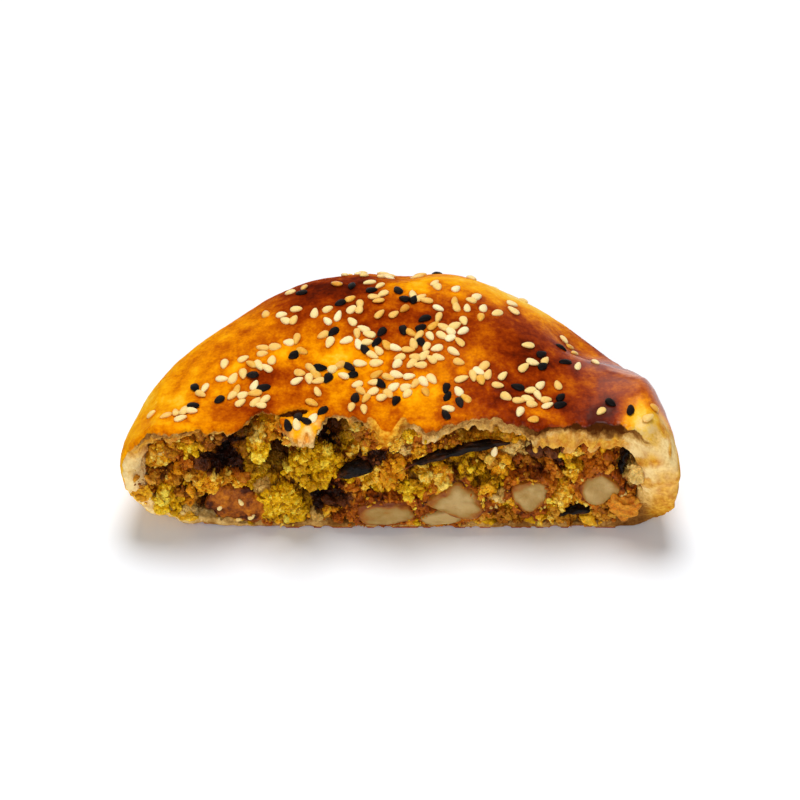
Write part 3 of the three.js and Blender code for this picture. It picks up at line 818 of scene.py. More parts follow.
def pie_body(name, hollow, gap=0.0):
    """The whole pie's body: its outside, or the space inside its crust drawn in by a further gap."""

    def inwards(sizes, x):
        return from_left_to_right(sizes, x) + gap if hollow else 0

    angle = 2 * np.pi * np.arange(AROUND) / AROUND
    outside = outline_radius(angle)
    side = outside * np.cos(angle)
    base = BASE_CRUST + gap if hollow else 0
    radius = outside - inwards(SIDE_CRUST, side)
    rings = []
    for turn in np.linspace(0, np.pi / 2, EDGE_RINGS + 1):
        out = np.sin(turn) ** (2 / BASE_POWER)
        up = 1 - np.cos(turn) ** (2 / BASE_POWER)
        r = radius - from_left_to_right(BASE_ROUND, side) * (1 - out)
        z = np.full(AROUND, base + (GIRTH_HEIGHT - base) * up)
        rings.append(columns(r * np.cos(angle), r * np.sin(angle), z))
    for share in np.cos(np.linspace(0, np.pi / 2, DOME_RINGS + 1)[1:-1]):
        x, y = share * radius * np.cos(angle), share * radius * np.sin(angle)
        z = top_height(x, y, inwards(SIDE_CRUST, x / share), inwards(TOP_CRUST, x))
        rings.append(columns(x, y, z))
    crown = top_height(0, 0, inwards(SIDE_CRUST, 0), inwards(TOP_CRUST, 0))
    points = np.concatenate([[(0, 0, base)], *rings, [(0, 0, crown)]])
    return mesh_object(name, points, ring_faces(len(rings), AROUND))


def broken_block(name, front, step):
    """What is broken away: a block whose far side is the surface y = front(x, z)."""
    half_width, low, high = PIE_RADIUS + BLOCK["beyond"], BLOCK["low"], EDGE_HEIGHT + BLOCK["above"]
    x = np.linspace(-half_width, half_width, round(2 * half_width / step))
    z = np.linspace(low, high, round((high - low) / step))
    xs, zs = (grid.ravel() for grid in np.meshgrid(x, z))
    far = columns(xs, front(xs, zs), zs)
    near = columns(xs, np.full(len(xs), float(BLOCK["front"])), zs)
    sheet = len(xs)
    at = np.arange(sheet).reshape(len(z), len(x))
    quads = columns(at[:-1, :-1].ravel(), at[:-1, 1:].ravel(), at[1:, 1:].ravel(), at[1:, :-1].ravel())
    faces = columns(quads, sheet + quads[:, ::-1]).reshape(-1, 4).tolist()
    for edge in (at[0], at[-1], at[:, 0], at[:, -1]):
        a, b = edge[:-1], edge[1:]
        faces.extend(columns(a, b, sheet + b, sheet + a).tolist())
    return mesh_object(name, np.concatenate([far, near]), faces)


def unit_ball(sides):
    """Points of a ball of radius 1 with its poles along Y, and its faces."""
    rings = sides // 2
    around = 2 * np.pi * np.arange(sides) / sides
    grid = []
    for polar in np.pi * np.arange(1, rings) / rings:
        out = np.sin(polar)
        grid.append(columns(out * np.cos(around), np.full(sides, -np.cos(polar)), out * np.sin(around)))
    return np.concatenate([[(0, -1, 0)], *grid, [(0, 1, 0)]]), ring_faces(rings - 1, sides)


def many_sided(angle, sides, corner):
    """How far out an outline with rounded corners lies in each direction: 1 where no side flattens it."""
    total = np.ones_like(angle)
    for side, share in sides:
        total = total + np.maximum(0, np.cos(angle - math.radians(side)) / share) ** corner
    return total ** (-1 / corner)


# Materials
def linear(colour):
    """A display colour from 0 to 255 as the light that it stands for."""
    share = np.asarray(colour) / 255
    light = np.where(share <= 0.04045, share / 12.92, ((share + 0.055) / 1.055) ** 2.4)
    return (*light.tolist(), 1)


class Finish:
    """A material in the making: its nodes and the shader that they feed. Sizes are in millimetres."""

    def __init__(self, name, roughness, specular, see_through=0.0):
        self.material = bpy.data.materials.new(name)
        self.material.use_nodes = True
        self.tree = self.material.node_tree
        self.shader = self.tree.nodes["Principled BSDF"]
        self.feed(self.shader, {"Roughness": roughness, "Specular IOR Level": specular})
        self.feed(self.shader, {"Subsurface Weight": see_through, "Subsurface Scale": 0.002})
        self.place = self.node("TexCoord").outputs["Object"]

    def feed(self, node, inputs):
        """Sets inputs of a node, each to a fixed value or to what a socket gives."""
        for name, source in inputs.items():
            if isinstance(source, bpy.types.NodeSocket):
                self.tree.links.new(source, node.inputs[name])
            else:
                node.inputs[name].default_value = source

    def node(self, kind, inputs=None, **settings):
        node = self.tree.nodes.new("ShaderNode" + kind)
        for name, setting in settings.items():
            setattr(node, name, setting)
        self.feed(node, inputs or {})
        return node

    def layer(self, name, output="Fac"):
        return self.node("Attribute", attribute_name=name).outputs[output]

    def math(self, operation, *sources):
        return self.node("Math", dict(enumerate(sources)), operation=operation).outputs[0]

    def speckle(self, size, stretch=None):
        place = self.place
        if stretch:
            place = self.node("Mapping", {"Vector": place, "Scale": stretch}).outputs["Vector"]
        return self.node("TexNoise", {"Vector": place, "Scale": 1000 / size, "Detail": 3}).outputs["Fac"]

    def moved(self, source, old, new):
        limits = {"From Min": old[0], "From Max": old[1], "To Min": new[0], "To Max": new[1]}
        return self.node("MapRange", {"Value": source, **limits}).outputs["Result"]

    def speckled(self, source, size, amount, spread=(0, 1)):
        """The source made uneven by speckles of this size."""
        return self.math("MULTIPLY_ADD", self.moved(self.speckle(size), spread, (-1, 1)), amount, source)

    def ramp(self, source, stops):
        node = self.node("ValToRGB", {"Fac": source})
        elements = node.color_ramp.elements
        while len(elements) < len(stops):
            elements.new(0.5)
        for element, (place, colour) in zip(elements, stops):
            element.position = place
            element.color = linear(colour)
        return node.outputs["Color"]

    def blend(self, share, first, second):
        """Two colours by a share. The node's sockets 0, 6 and 7 are those for colours."""
        return self.node("Mix", {0: share, 6: first, 7: second}, data_type="RGBA").outputs[2]

    def scaled(self, colour, share):
        return self.node("VectorMath", {0: colour, "Scale": share}, operation="SCALE").outputs["Vector"]

    def done(self, colour, grain, depth):
        """The material with this colour, and with a grain this deep."""
        bump = self.node("Bump", {"Height": grain, "Distance": depth / 1000, "Strength": 1})
        self.feed(self.shader, {"Base Color": colour, "Normal": bump.outputs["Normal"]})
        return self.material


def skin_colour(finish):
    brown = finish.layer("brown")
    for size, amount in ((4.5, 0.09), (1.4, 0.06), (0.6, 0.04)):
        brown = finish.speckled(brown, size, amount, spread=(0.3, 0.7))
    stops = [
        (0.0, (246, 212, 138)),
        (0.15, (248, 197, 62)),
        (0.3, (246, 171, 8)),
        (0.45, (229, 134, 0)),
        (0.6, (189, 89, 1)),
        (0.75, (146, 50, 1)),
        (0.88, (112, 30, 0)),
        (1.0, (78, 18, 1)),
    ]
    return finish.ramp(brown, stops)


def dough_colour(finish):
    toast_and_shade = finish.speckled(finish.speckled(finish.layer("toast_and_shade"), 2.4, 0.3), 0.7, 0.3)
    stops = [(0.0, (252, 222, 156)), (0.3, (222, 176, 98)), (0.6, (156, 104, 46)), (1.0, (80, 38, 10))]
    gold = finish.ramp(finish.speckle(1.4), [(0.35, (242, 182, 56)), (0.65, (204, 120, 14))])
    return finish.blend(finish.layer("gold"), finish.ramp(toast_and_shade, stops), gold)


def baked_crust():
    """Glazed skin and torn dough, divided where the skin's depth below the outside is used up."""
    finish = Finish("baked_crust", roughness=0.5, specular=0)
    skin = finish.speckled(finish.layer("skin"), 1.1, 0.4)
    skin = finish.moved(skin, (-0.12, 0.12), (0, 1))
    dough = dough_colour(finish)
    baked = finish.blend(skin, dough, skin_colour(finish))
    glazed = finish.math("MULTIPLY", skin, finish.layer("glaze"))
    finish.feed(finish.shader, {"Coat Weight": glazed, "Coat Roughness": 0.26})
    finish.feed(finish.shader, {"Roughness": finish.moved(skin, (0, 1), (0.75, 0.45))})
    grain = finish.math("ADD", finish.speckle(0.9), finish.speckle(0.5, stretch=(0.6, 1, 1.5)))
    return finish.done(finish.blend(finish.layer("cheek"), baked, dough), grain, 0.12)


def crumb_material():
    finish = Finish("crumb", roughness=0.5, specular=0.12, see_through=0.1)
    colour = finish.layer("tint", "Color")
    for size, darkest in ((0.8, 0.7), (0.35, 0.75)):
        colour = finish.scaled(colour, finish.moved(finish.speckle(size), (0.3, 0.7), (darkest, 1.2)))
    return finish.done(colour, finish.speckle(0.4), 0.12)


def shaded(finish, speckles, stops, grain, depth):
    """A material that runs through colours by each point's shade, made uneven by speckles."""
    shade = finish.layer("shade")
    for size, amount in speckles:
        shade = finish.speckled(shade, size, amount)
    return finish.done(finish.ramp(shade, stops), finish.speckle(*grain), depth)


def chickpea_flesh():
    stops = [(0.0, (128, 58, 4)), (0.25, (162, 96, 20)), (0.5, (164, 126, 60)), (1.0, (192, 158, 98))]
    finish = Finish("chickpea", roughness=0.42, specular=0.22, see_through=0.25)
    return shaded(finish, [(2.4, 0.35)], stops, grain=[0.8], depth=0.15)


def roasted_aubergine():
    dark = [(0.0, (12, 7, 5)), (0.35, (28, 14, 8))]
    stops = dark + [(0.6, (66, 34, 12)), (0.8, (96, 36, 8)), (1.0, (144, 72, 20))]
    finish = Finish("aubergine", roughness=0.42, specular=0.12)
    return shaded(finish, [(1.6, 0.4)], stops, grain=[0.7, (0.5, 1, 1)], depth=0.25)


def browned_fragment():
    stops = [(0.0, (74, 28, 4)), (0.3, (146, 72, 8)), (0.6, (192, 108, 14)), (1.0, (240, 158, 30))]
    finish = Finish("fragment", roughness=0.5, specular=0.15)
    return shaded(finish, [(1.8, 0.5), (0.6, 0.3)], stops, grain=[0.6], depth=0.2)


def light_seed():
    stops = [(0.0, (250, 230, 178)), (0.4, (246, 209, 128)), (0.75, (232, 170, 58)), (1.0, (194, 108, 12))]
    finish = Finish("light_seed", roughness=0.42, specular=0.4, see_through=0.1)
    return shaded(finish, [(0.8, 0.15)], stops, grain=[0.4], depth=0.05)


def dark_seed():
    stops = [(0.0, (12, 9, 9)), (0.6, (23, 17, 16)), (1.0, (48, 37, 33))]
    finish = Finish("dark_seed", roughness=0.5, specular=0.12)
    return shaded(finish, [(0.6, 0.3)], stops, grain=[0.3], depth=0.1)


# The crust
def wrinkles(points):
    return space_noise(turned_in_face(points, WRINKLE["turn"]) * WRINKLE["stretch"], WRINKLE["size"])


def on_cheek(points):
    """Near 1 on the thick cheek of dough at the right end."""
    x, y, z = points.T
    uneven = CHEEK_DOUGH["uneven"] * rough(points, CHEEK_DOUGH["size"])
    return within(CHEEK_DOUGH, columns(x, y + uneven, z + CHEEK_DOUGH["slope"] * (CHEEK_DOUGH["end"] - x)))


def on_golden_tongue(x):
    return plateau((x - GOLDEN_TONGUE["x"]) / GOLDEN_TONGUE["half"])


def band_depth(points):
    """The share of the way down through the torn top crust, and how surely a point is in that band."""
    x, y, z = points.T
    return (top_height(x, y) - z) / from_left_to_right(TOP_CRUST, x), smoothstep(*BAND, z)


def crust_skin(points):
    """Above zero on the baked outside, below zero on torn dough and on the inside."""
    x, y, z = points.T
    skin = np.clip(SKIN["depth"] - depth_inside(points), -1, 1)
    bare = on_golden_tongue(x) * smoothstep(*GOLDEN_TONGUE["near"], y - crust_front(x, z))
    return skin - 2 * bare * smoothstep(*GOLDEN_TONGUE["z"], z)


def pale_skin(points):
    """Where the skin gives way to bare dough: all over the cheek, and in patches on the flap."""
    x, y, z = points.T
    patches = smoothstep(*FLAP_DOUGH["patch"], rough(points, FLAP_DOUGH["size"])) * smoothstep(*FLAP["z"], z)
    return np.maximum(on_cheek(points), FLAP_DOUGH["share"] * flap_share(x, y) * patches)


def seed_glaze_and_shadow(points, seeds):
    """Darker glaze pooled close round the seeds, with painted shadow where they sit in it."""
    x, y, z = points.T
    nearest = np.full(len(x), np.inf)
    for sx, sy, _ in seeds:
        nearest = np.minimum(nearest, np.hypot(x - sx, y - sy))
    return SEED_GLAZE_AND_SHADOW["amount"] * bell(nearest / SEED_GLAZE_AND_SHADOW["reach"]) * smoothstep(*SEED_GLAZE_AND_SHADOW["z"], z)


def browning(points, seeds):
    """How dark the baked skin is: patches, the torn edge, darker glaze and painted shadow round the seeds,
    painted light at the left rim, and paler at the side.
    """
    x, y, z = points.T
    angle, out = np.arctan2(y, x), np.hypot(x, y)
    level = mix(BROWNING_LEVEL, smoothstep(*BROWNING_RISE, x)) + space_layers(points, BLOTCHES)
    for bx, by, across, along, amount in BROWNING:
        level = level + amount * bell(np.hypot((x - bx) / across, (y - by) / along))
    # Painted light near the outline at the left end
    rim = smoothstep(*LEFT_RIM_LIGHT["out"], out / outline_radius(angle)) * smoothstep(*LEFT_RIM_LIGHT["x"], x)
    patchy = np.maximum(0, TOASTED_EDGE["mean"] + noise(x / TOASTED_EDGE["size"], TOASTED_EDGE["row"]))
    edge = bell((y - crust_front(x, z)) / TOASTED_EDGE["reach"]) * patchy
    streaks = noise(out / STREAKS["apart"], angle * PIE_RADIUS / STREAKS["length"])
    level = level - LEFT_RIM_LIGHT["less"] * rim + TOASTED_EDGE["amount"] * edge + STREAKS["amount"] * streaks
    level = level + seed_glaze_and_shadow(points, seeds) - SEED_GLAZE_AND_SHADOW["amount"] / 3
    uneven = PALE_SIDE["uneven"] * space_noise(points, PALE_SIDE["size"])
    low_side = PALE_SIDE["share"] * smoothstep(*PALE_SIDE["z"], z + uneven)
    shoulder = within(PALE_SHOULDER, points)
    folds = PALE_SIDE["folds"] * np.maximum(0, wrinkles(points))
    pale_level = PALE_SIDE["level"] - PALE_SHOULDER["less"] * shoulder + folds
    level = mix((level, pale_level), np.maximum(low_side, shoulder))
    return mix((level, UNDERSIDE["level"]), smoothstep(*UNDERSIDE["z"], z))


def glaze(points):
    """How much egg wash lies on the skin: most of it on the right shoulder."""
    away = (points[:, :2] - GLAZED_SHOULDER["middle"]) / GLAZED_SHOULDER["half"]
    shoulder = GLAZED_SHOULDER["share"] * np.prod(plateau(away), axis=1)
    return (mix(GLAZE["shares"], within(GLAZE, points)) + shoulder) * (1 - on_cheek(points))


def dough_toast_and_shade(points):
    """How dark the dough is: its toasting, painted shade beneath the skin's overhang and in the crack, and
    pale on the left wall and the cheek.
    """
    x, y, _ = points.T
    depth, band = band_depth(points)
    # Painted shade in the band beneath the skin's overhang
    shade_under_skin = mix(DOUGH_TOAST_AND_SHADE["shade_under_skin"], smoothstep(*DOUGH_TOAST_AND_SHADE["right"], x)) * smoothstep(*DOUGH_TOAST_AND_SHADE["depth"], depth)
    # Painted shade in the crack
    crack = smoothstep(*CRACK["dark"], crack_reach(x, y)) * band
    flap = DOUGH_TOAST_AND_SHADE["flap"] * flap_share(x, y) * band * (1 - crack)
    torn = DOUGH_TOAST_AND_SHADE["level"] + shade_under_skin * band + crack - flap
    torn = torn + TOAST_PATCH["amount"] * rough(points, TOAST_PATCH["size"])
    torn = torn + sum(amount * within(zone, points) for amount, zone in TOAST_ZONES)
    folds = smoothstep(*CHEEK_FOLDS["fold"], wrinkles(points)) * within(CHEEK_FOLDS, points)
    # Darker towards the cheek's bottom: partly toasting, partly painted shade
    low = CHEEK_TOAST_AND_SHADE["low"] * within(CHEEK_TOAST_AND_SHADE, points)
    cheek = CHEEK_TOAST_AND_SHADE["level"] + CHEEK_FOLDS["toast_and_shade"] * folds + low
    return mix((torn, cheek), on_cheek(points))


def dough_gold(points):
    """Golden browned dough: the band's tips, one tongue, and on the cheek a spot, folds and its side."""
    x, y, z = points.T
    depth, band = band_depth(points)
    lower = depth + GOLD["uneven"] * rough(points, GOLD["size"]) + GOLD["left"] * within(THIN_BAND, points)
    torn = np.maximum(GOLD["most"] * smoothstep(*GOLD["depth"], lower), on_golden_tongue(x)) * band
    spot = bell(np.hypot(x - ORANGE_SPOT["x"], z - ORANGE_SPOT["z"]) / ORANGE_SPOT["reach"])
    folds = smoothstep(*GOLDEN_FOLDS["fold"], wrinkles(points)) * within(GOLDEN_FOLDS, points)
    side = within(GOLDEN_SIDE, points) * smoothstep(*GOLDEN_SIDE["high"], z)
    cheek = np.maximum(GOLDEN_FOLDS["most"] * folds, GOLDEN_SIDE["most"] * side)
    return clamp(mix((torn, np.maximum(spot, cheek)), on_cheek(points)))


def refine_tear(crust):
    """Halves the faces round the torn edge and the cheek."""
    x, y, z = read_points(crust).T
    near = (y < crust_front(x, z) + TEAR_ZONE["reach"]) & (z > TEAR_ZONE["lowest"])
    near = near & ((z > TEAR_ZONE["band"]) | (np.abs(x) > TEAR_ZONE["ends"]))
    with edited(crust.data) as shape:
        edges = [edge for edge in shape.edges if near[edge.verts[0].index] and near[edge.verts[1].index]]
        bmesh.ops.subdivide_edges(shape, edges=edges, cuts=1, use_grid_fill=True)


def add_crust_relief(crust, skin):
    """Swells and folds the skin, tears the dough, and lets shreds hang from the torn band."""
    before = read_points(crust)
    x, y, z = before.T
    cheek = on_cheek(before)
    torn = smoothstep(*SKIN["torn"], skin) * (1 - cheek)
    swell = space_layers(before, SWELL) + FOLDS["height"] * within(FOLDS, before) * wrinkles(before)
    tears = TEARS["height"] * rough(before, TEARS["size"], 4)
    tears = tears + TEARS["leaf_height"] * space_noise(before * TEARS["stretch"], TEARS["leaf"])
    lift = smoothstep(*SKIN["rests"], z) * mix((swell, tears), torn)
    points = before + read_normals(crust) * lift[:, None]
    behind = y - crust_front(x, z)
    through = clamp(depth_inside(points) / SIDE_CRUST[0])
    points[:, 1] -= wall_bulge(x, z) * smoothstep(*WALL_BULGE["near"], behind) * np.sin(math.pi * through)
    depth, _ = band_depth(before)
    hanging = torn * smoothstep(*HANGING["depth"], depth) * within(HANGING, before)
    thin = THIN_BAND["less"] * within(THIN_BAND, before)
    shreds = HANGING["mean"] + plane_layers(x, y, HANGING["shreds"])
    points[:, 2] += hanging * (shreds - hanging_depth(x) + thin)
    edge = smoothstep(*RAG["y"], behind) * smoothstep(*RAG["z"], z) * (1 - cheek)
    points[:, 1] += edge * plane_layers(x, z, RAG["layers"]) * (1 + FLAP["rag"] * flap_share(x, y))
    write_points(crust, points)


def crack_tool():
    ball, faces = unit_ball(24)
    x, y, z = (ball * CRACK["half"]).T
    middle = (CRACK["x"], CRACK["y"], float(top_height(CRACK["x"], CRACK["y"])))
    return mesh_object("crack", columns(*turned(x, y, CRACK["turn"]), z) + middle, faces)


def make_crust(seeds):
    crust = pie_body("pastry_crust", hollow=False)
    cut_away(crust, pie_body("inside", hollow=True))
    cut_away(crust, broken_block("broken_away", torn_front, CUT_STEP))
    cut_away(crust, crack_tool())
    modify(crust, "REMESH", mode="VOXEL", voxel_size=CRUST_STEP / 1000)
    keep_largest(crust)
    refine_tear(crust)
    skin = crust_skin(read_points(crust))
    add_crust_relief(crust, skin)
    points = read_points(crust)
    write_layer(crust, "skin", skin)
    write_layer(crust, "brown", browning(points, seeds))
    for name, rule in (("glaze", glaze), ("toast_and_shade", dough_toast_and_shade), ("gold", dough_gold), ("cheek", pale_skin)):
        write_layer(crust, name, rule(points))
    hand_over(crust, baked_crust(), "crust")


# The seeds
def lay_seeds(random, patch, wanted, closest, widen, laid):
    """Lays seeds in a patch, each on the crust and clear of those that are laid, and adds them to those."""
    x0, y0, spread = patch[:3]
    done = []
    tries = 0
    while len(done) < wanted and tries < SPRINKLE["tries"] * wanted:
        tries += 1
        x = x0 + widen * spread[0] * ((2 / 3) * (random() + random() + random()) - 1)
        y = y0 + widen * spread[1] * ((2 / 3) * (random() + random() + random()) - 1)
        turn = 2 * math.pi * random()
        inside = math.hypot(x, y) < outline_radius(math.atan2(y, x)) * SPRINKLE["rim"]
        on_crust = inside and y > SPRINKLE["edge_clear"] - tongue_reach(x)
        if on_crust and all(math.hypot(p[0] - x, p[1] - y) > closest for p in laid):
            laid.append((x, y, turn))
            done.append((x, y, turn))
    return done


def seed_places():
    """Places of the light and of the dark seeds, each as x, y and turn."""
    laid, light, dark = [], [], []
    in_patch = [[] for _ in PATCHES]
    for k, (draw, closest, widen) in enumerate(ROUNDS):
        random = make_random(draw)
        for patch, places in zip(PATCHES, in_patch):
            wanted = sum(patch[4]) - patch[3] if k else patch[3]
            places.extend(lay_seeds(random, patch, wanted, closest, widen, laid))
    for patch, places in zip(PATCHES, in_patch):
        share = patch[4][1] / sum(patch[4])
        for k, place in enumerate(places):
            is_dark = math.floor((k + 1) * share + 0.5) > math.floor(k * share + 0.5)
            if crack_reach(*place[:2]) > SPRINKLE["crack_clear"]:
                (dark if is_dark else light).append(place)
    return light, dark


def on_top(places):
    """Points, upright directions, turns and sizes of seeds that lie on the baked top."""
    seeds = []
    for x, y, turn in places:
        slope_x, slope_y = top_slope(x, y, SEED["step"])
        seeds.append(((x, y, float(top_height(x, y))), Vector((-slope_x, -slope_y, 1)).normalized(), turn, 1))
    return seeds


def in_face(places):
    towards = Vector(FACE_SEED_UP).normalized()
    return [(point, towards, math.radians(turn), scale) for point, turn, scale in places]


def make_seeds(name, places, material, draw, angular):
    """A joined mesh of flat drops, each lying at its place."""
    random = np.random.default_rng(draw)
    ball, faces = unit_ball(12)
    x, y, z = ball[:, 1], ball[:, 0], ball[:, 2]
    drop = columns(x, y * (1 - SEED["taper"] * x), z)
    # Painted shade on the seed's underside
    shaded_underside = SEED_SHADE["shaded_underside"] * smoothstep(*SEED_SHADE["shaded_underside_z"], z)
    upright = Vector((0, 0, 1))
    points, all_faces, shades = [], [], []
    for k, (point, normal, turn, scale) in enumerate(places):
        size = np.array(SEED["size"]) / 2 * scale * random.uniform(*SEED["vary"], 3)
        shape = drop * size * (1 + angular * space_noise(drop + random.uniform(0, 90, 3), 0.8))[:, None]
        shape[:, 2] += (0.5 - SEED["sunk"]) * SEED["size"][2]
        tilt = Quaternion((math.cos(turn), math.sin(turn), 0), random.normal(0, SEED["tilt"]))
        spin = upright.rotation_difference(normal) @ tilt @ Quaternion(upright, turn)
        points.append(shape @ np.array(spin.to_matrix()).T + point)
        all_faces.extend(tuple(k * len(drop) + corner for corner in face) for face in faces)
        shades.append(random.beta(*SEED_SHADE["spread"]) + shaded_underside)
    seeds = mesh_object(name, np.concatenate(points), all_faces)
    write_layer(seeds, "shade", np.concatenate(shades))
    hand_over(seeds, material)
# The filling
def strip_frame(strip):
    """Middle, half length and turn in the face of a strip."""
    start, end = np.array(strip[0]), np.array(strip[1])
    along = end - start
    return (start + end) / 2, np.linalg.norm(along) / 2, math.degrees(math.atan2(along[2], along[0]))


def pea_spaces():
    return [(middle, (half[0], half[2]), turn, sides) for middle, half, turn, sides, _ in CHICKPEAS]


def other_spaces():
    middle, half, turn = FRAGMENT
    spaces = [(middle, (half[0], half[2]), turn)]
    for strip in AUBERGINES:
        middle, half_length, turn = strip_frame(strip)
        lift = strip[2] / 2
        spaces.append((middle + (0, 0, lift), (half_length, strip[3][0] + lift), turn))
    return spaces


def reach_in(x, z, middle, half, turn, sides=()):
    """How far each place lies from the middle of a turned ellipse with flat sides: 1 on its outline."""
    along, up = turned(x - middle[0], z - middle[-1], -turn)
    along, up = along / half[0], up / half[1]
    return np.hypot(along, up) / many_sided(np.arctan2(up, along), sides, PEA["corner"])


def nearness(x, z, spaces, clear=0.0):
    """How near each place of the face is to one of the larger pieces: below 1 inside its outline."""
    wider = [(middle, (half[0] + clear, half[1] + clear), *rest) for middle, half, *rest in spaces]
    return np.min([reach_in(x, z, *space) for space in wider], axis=0)


def mass_cover(x, z):
    """How far each place of the face is on a mass of crumb, from 0 to 1, and which one."""
    cover, owner = np.zeros(np.shape(x)), np.zeros(np.shape(x), int)
    rag = plane_layers(x, z, MASS_EDGE["rag"])
    for k, (mx, mz, half_width, half_height, turn, *_) in enumerate(MASSES):
        reach = reach_in(x, z, (mx, mz), (half_width, half_height), turn) + rag
        here = smoothstep(1 + MASS_EDGE["steep"], 1 - MASS_EDGE["steep"], reach)
        owner = np.where(here > cover, k, owner)
        cover = np.maximum(cover, here)
    return cover, owner


def mass_kinds(clumps, nearest, cover, owner):
    """Kinds of the nearest clumps, with the pure ones on a mass turned to the mass's own kind."""
    own = np.array([mass[6] for mass in MASSES])[owner]
    return np.where((cover > 0.5) & clumps["pure"][nearest], own, clumps["kind"][nearest])


def zone_kinds(x, z, random):
    zx, zz, width, height = np.array([zone[:4] for zone in ZONES]).T
    away = np.hypot((x[:, None] - zx) / width, (z[:, None] - zz) / height)
    zone = np.argmin(away + ZONE_EDGE * random.random(away.shape), axis=1)
    return np.array([ZONES[k][4] for k in zone])


def mixed_kinds(main, random):
    """Kinds drawn from what lies among each main kind of crumb."""
    kinds = main.copy()
    for kind, shares in MIXES.items():
        chosen = main == kind
        kinds[chosen] = random.choice(list(shares), np.count_nonzero(chosen), p=list(shares.values()))
    return kinds


def tints(kinds, shades, depth):
    """Colours of crumbs of these kinds, each from dark to light by its shade, and darkened deep in a cavity
    as painted shade.
    """
    colours = np.ones((len(kinds), 4))
    for kind, palette in PALETTES.items():
        chosen = kinds == kind
        stops = np.array([linear(colour) for colour in palette])
        places = np.linspace(0, 1, len(palette))
        for channel in range(3):
            colours[chosen, channel] = np.interp(shades[chosen], places, stops[:, channel])
    colours[:, :3] *= np.exp(-CAVITY_PAINTED_SHADE * depth)[:, None] ** CAVITY_WARM
    return colours


def make_clumps():
    """Clumps of crumb all over the broken face, one in each cell of a loose grid."""
    random = np.random.default_rng(CLUMP["draw"])
    step = CLUMP["spacing"]
    grid = np.meshgrid(np.arange(-PIE_RADIUS, PIE_RADIUS, step), np.arange(-step, EDGE_HEIGHT, step))
    x, z = (places.ravel() for places in grid)
    count = len(x)
    x, z = x + step * random.random(count), z + step * random.random(count)
    return {
        "x": x,
        "z": z,
        "kind": mixed_kinds(zone_kinds(x, z, random), random),
        "size": random.uniform(*CLUMP["size"], count),
        "forward": random.uniform(*CLUMP_SET["forward"], count),
        "tilt": random.uniform(-CLUMP_SET["tilt"], CLUMP_SET["tilt"], (count, 2)),
        "shade": random.uniform(*CLUMP["shade"], count),
        "pure": random.random(count) < MASS_EDGE["pure"],
    }


def nearest_clump(clumps, x, z):
    """The clump of each place of the face, and how far away it and the next one are, in their own sizes."""
    bend, size = CLUMP_RELIEF["bend"], CLUMP_RELIEF["bend_size"]
    bent_x = x + bend * noise(x, z, size)
    bent_z = z + bend * noise(x / size + 40, z / size)
    found = []
    for some in np.array_split(np.arange(len(x)), 1 + len(x) // 5000):
        away = np.hypot(bent_x[some, None] - clumps["x"], bent_z[some, None] - clumps["z"]) / clumps["size"]
        two = np.partition(away, 1, axis=1)
        found.append((np.argmin(away, axis=1), two[:, 0], two[:, 1]))
    return tuple(np.concatenate(values) for values in zip(*found))


def crumbly_front(clumps):
    """The broken face as a surface y = front(x, z): a lump for each clump, with a crevice round it."""
    proud = np.array([mass[5] for mass in MASSES])

    def front(x, z):
        nearest, first, second = nearest_clump(clumps, x, z)
        dome = np.sqrt(np.maximum(0, 1 - (first / CLUMP_RELIEF["reach"]) ** 2)) * clumps["size"][nearest]
        tilt_x, tilt_z = clumps["tilt"][nearest].T
        tilt = tilt_x * (x - clumps["x"][nearest]) + tilt_z * (z - clumps["z"][nearest])
        cover, owner = mass_cover(x, z)
        calm = 1 - MASS_EDGE["calm"] * cover
        hollow = cavity_depth(x, z) * (1 - cover)
        lift = clumps["forward"][nearest] + CLUMP_RELIEF["dome"] * dome + tilt
        lift = lift * calm * smoothstep(*CLUMP_SET["calm"], hollow)
        crevice = CLUMP_RELIEF["crevice"] * bell((second - first) / CLUMP_RELIEF["border"]) * calm
        y = plain_front(x, z) + hollow - lift - proud[owner] * cover + crevice
        y = np.maximum(y, FRONT_LIMIT["y"] + FRONT_LIMIT["uneven"] * noise(x, z))
        near_pea = nearness(x, z, pea_spaces())
        paste = PASTE["level"] + PASTE["lump"] * noise(x, z, PASTE["lump_size"])
        y = mix((y, paste), smoothstep(*PASTE["reach"], near_pea))
        inside = np.minimum(near_pea, nearness(x, z, other_spaces()))
        return y + SOCKET["depth"] * smoothstep(*SOCKET["reach"], inside)

    return front


def split_long_edges(piece, longest, chosen):
    """Halves the long edges between chosen points, and again what is still long."""
    with edited(piece.data) as shape:
        bmesh.ops.triangulate(shape, faces=shape.faces)
        mark = shape.verts.layers.int.new("chosen")
        shape.verts.ensure_lookup_table()
        for k in np.flatnonzero(chosen):
            shape.verts[int(k)][mark] = 1
        for _ in range(4):
            long_edges = [
                edge for edge in shape.edges
                if edge.calc_length() > longest / 1000 and edge.verts[0][mark] and edge.verts[1][mark]
            ]
            cut = bmesh.ops.subdivide_edges(shape, edges=long_edges, cuts=1)
            for vertex in (part for part in cut["geom_inner"] if isinstance(part, bmesh.types.BMVert)):
                vertex[mark] = 1
            bmesh.ops.triangulate(shape, faces=[face for face in shape.faces if len(face.verts) > 3])
        shape.verts.layers.int.remove(mark)


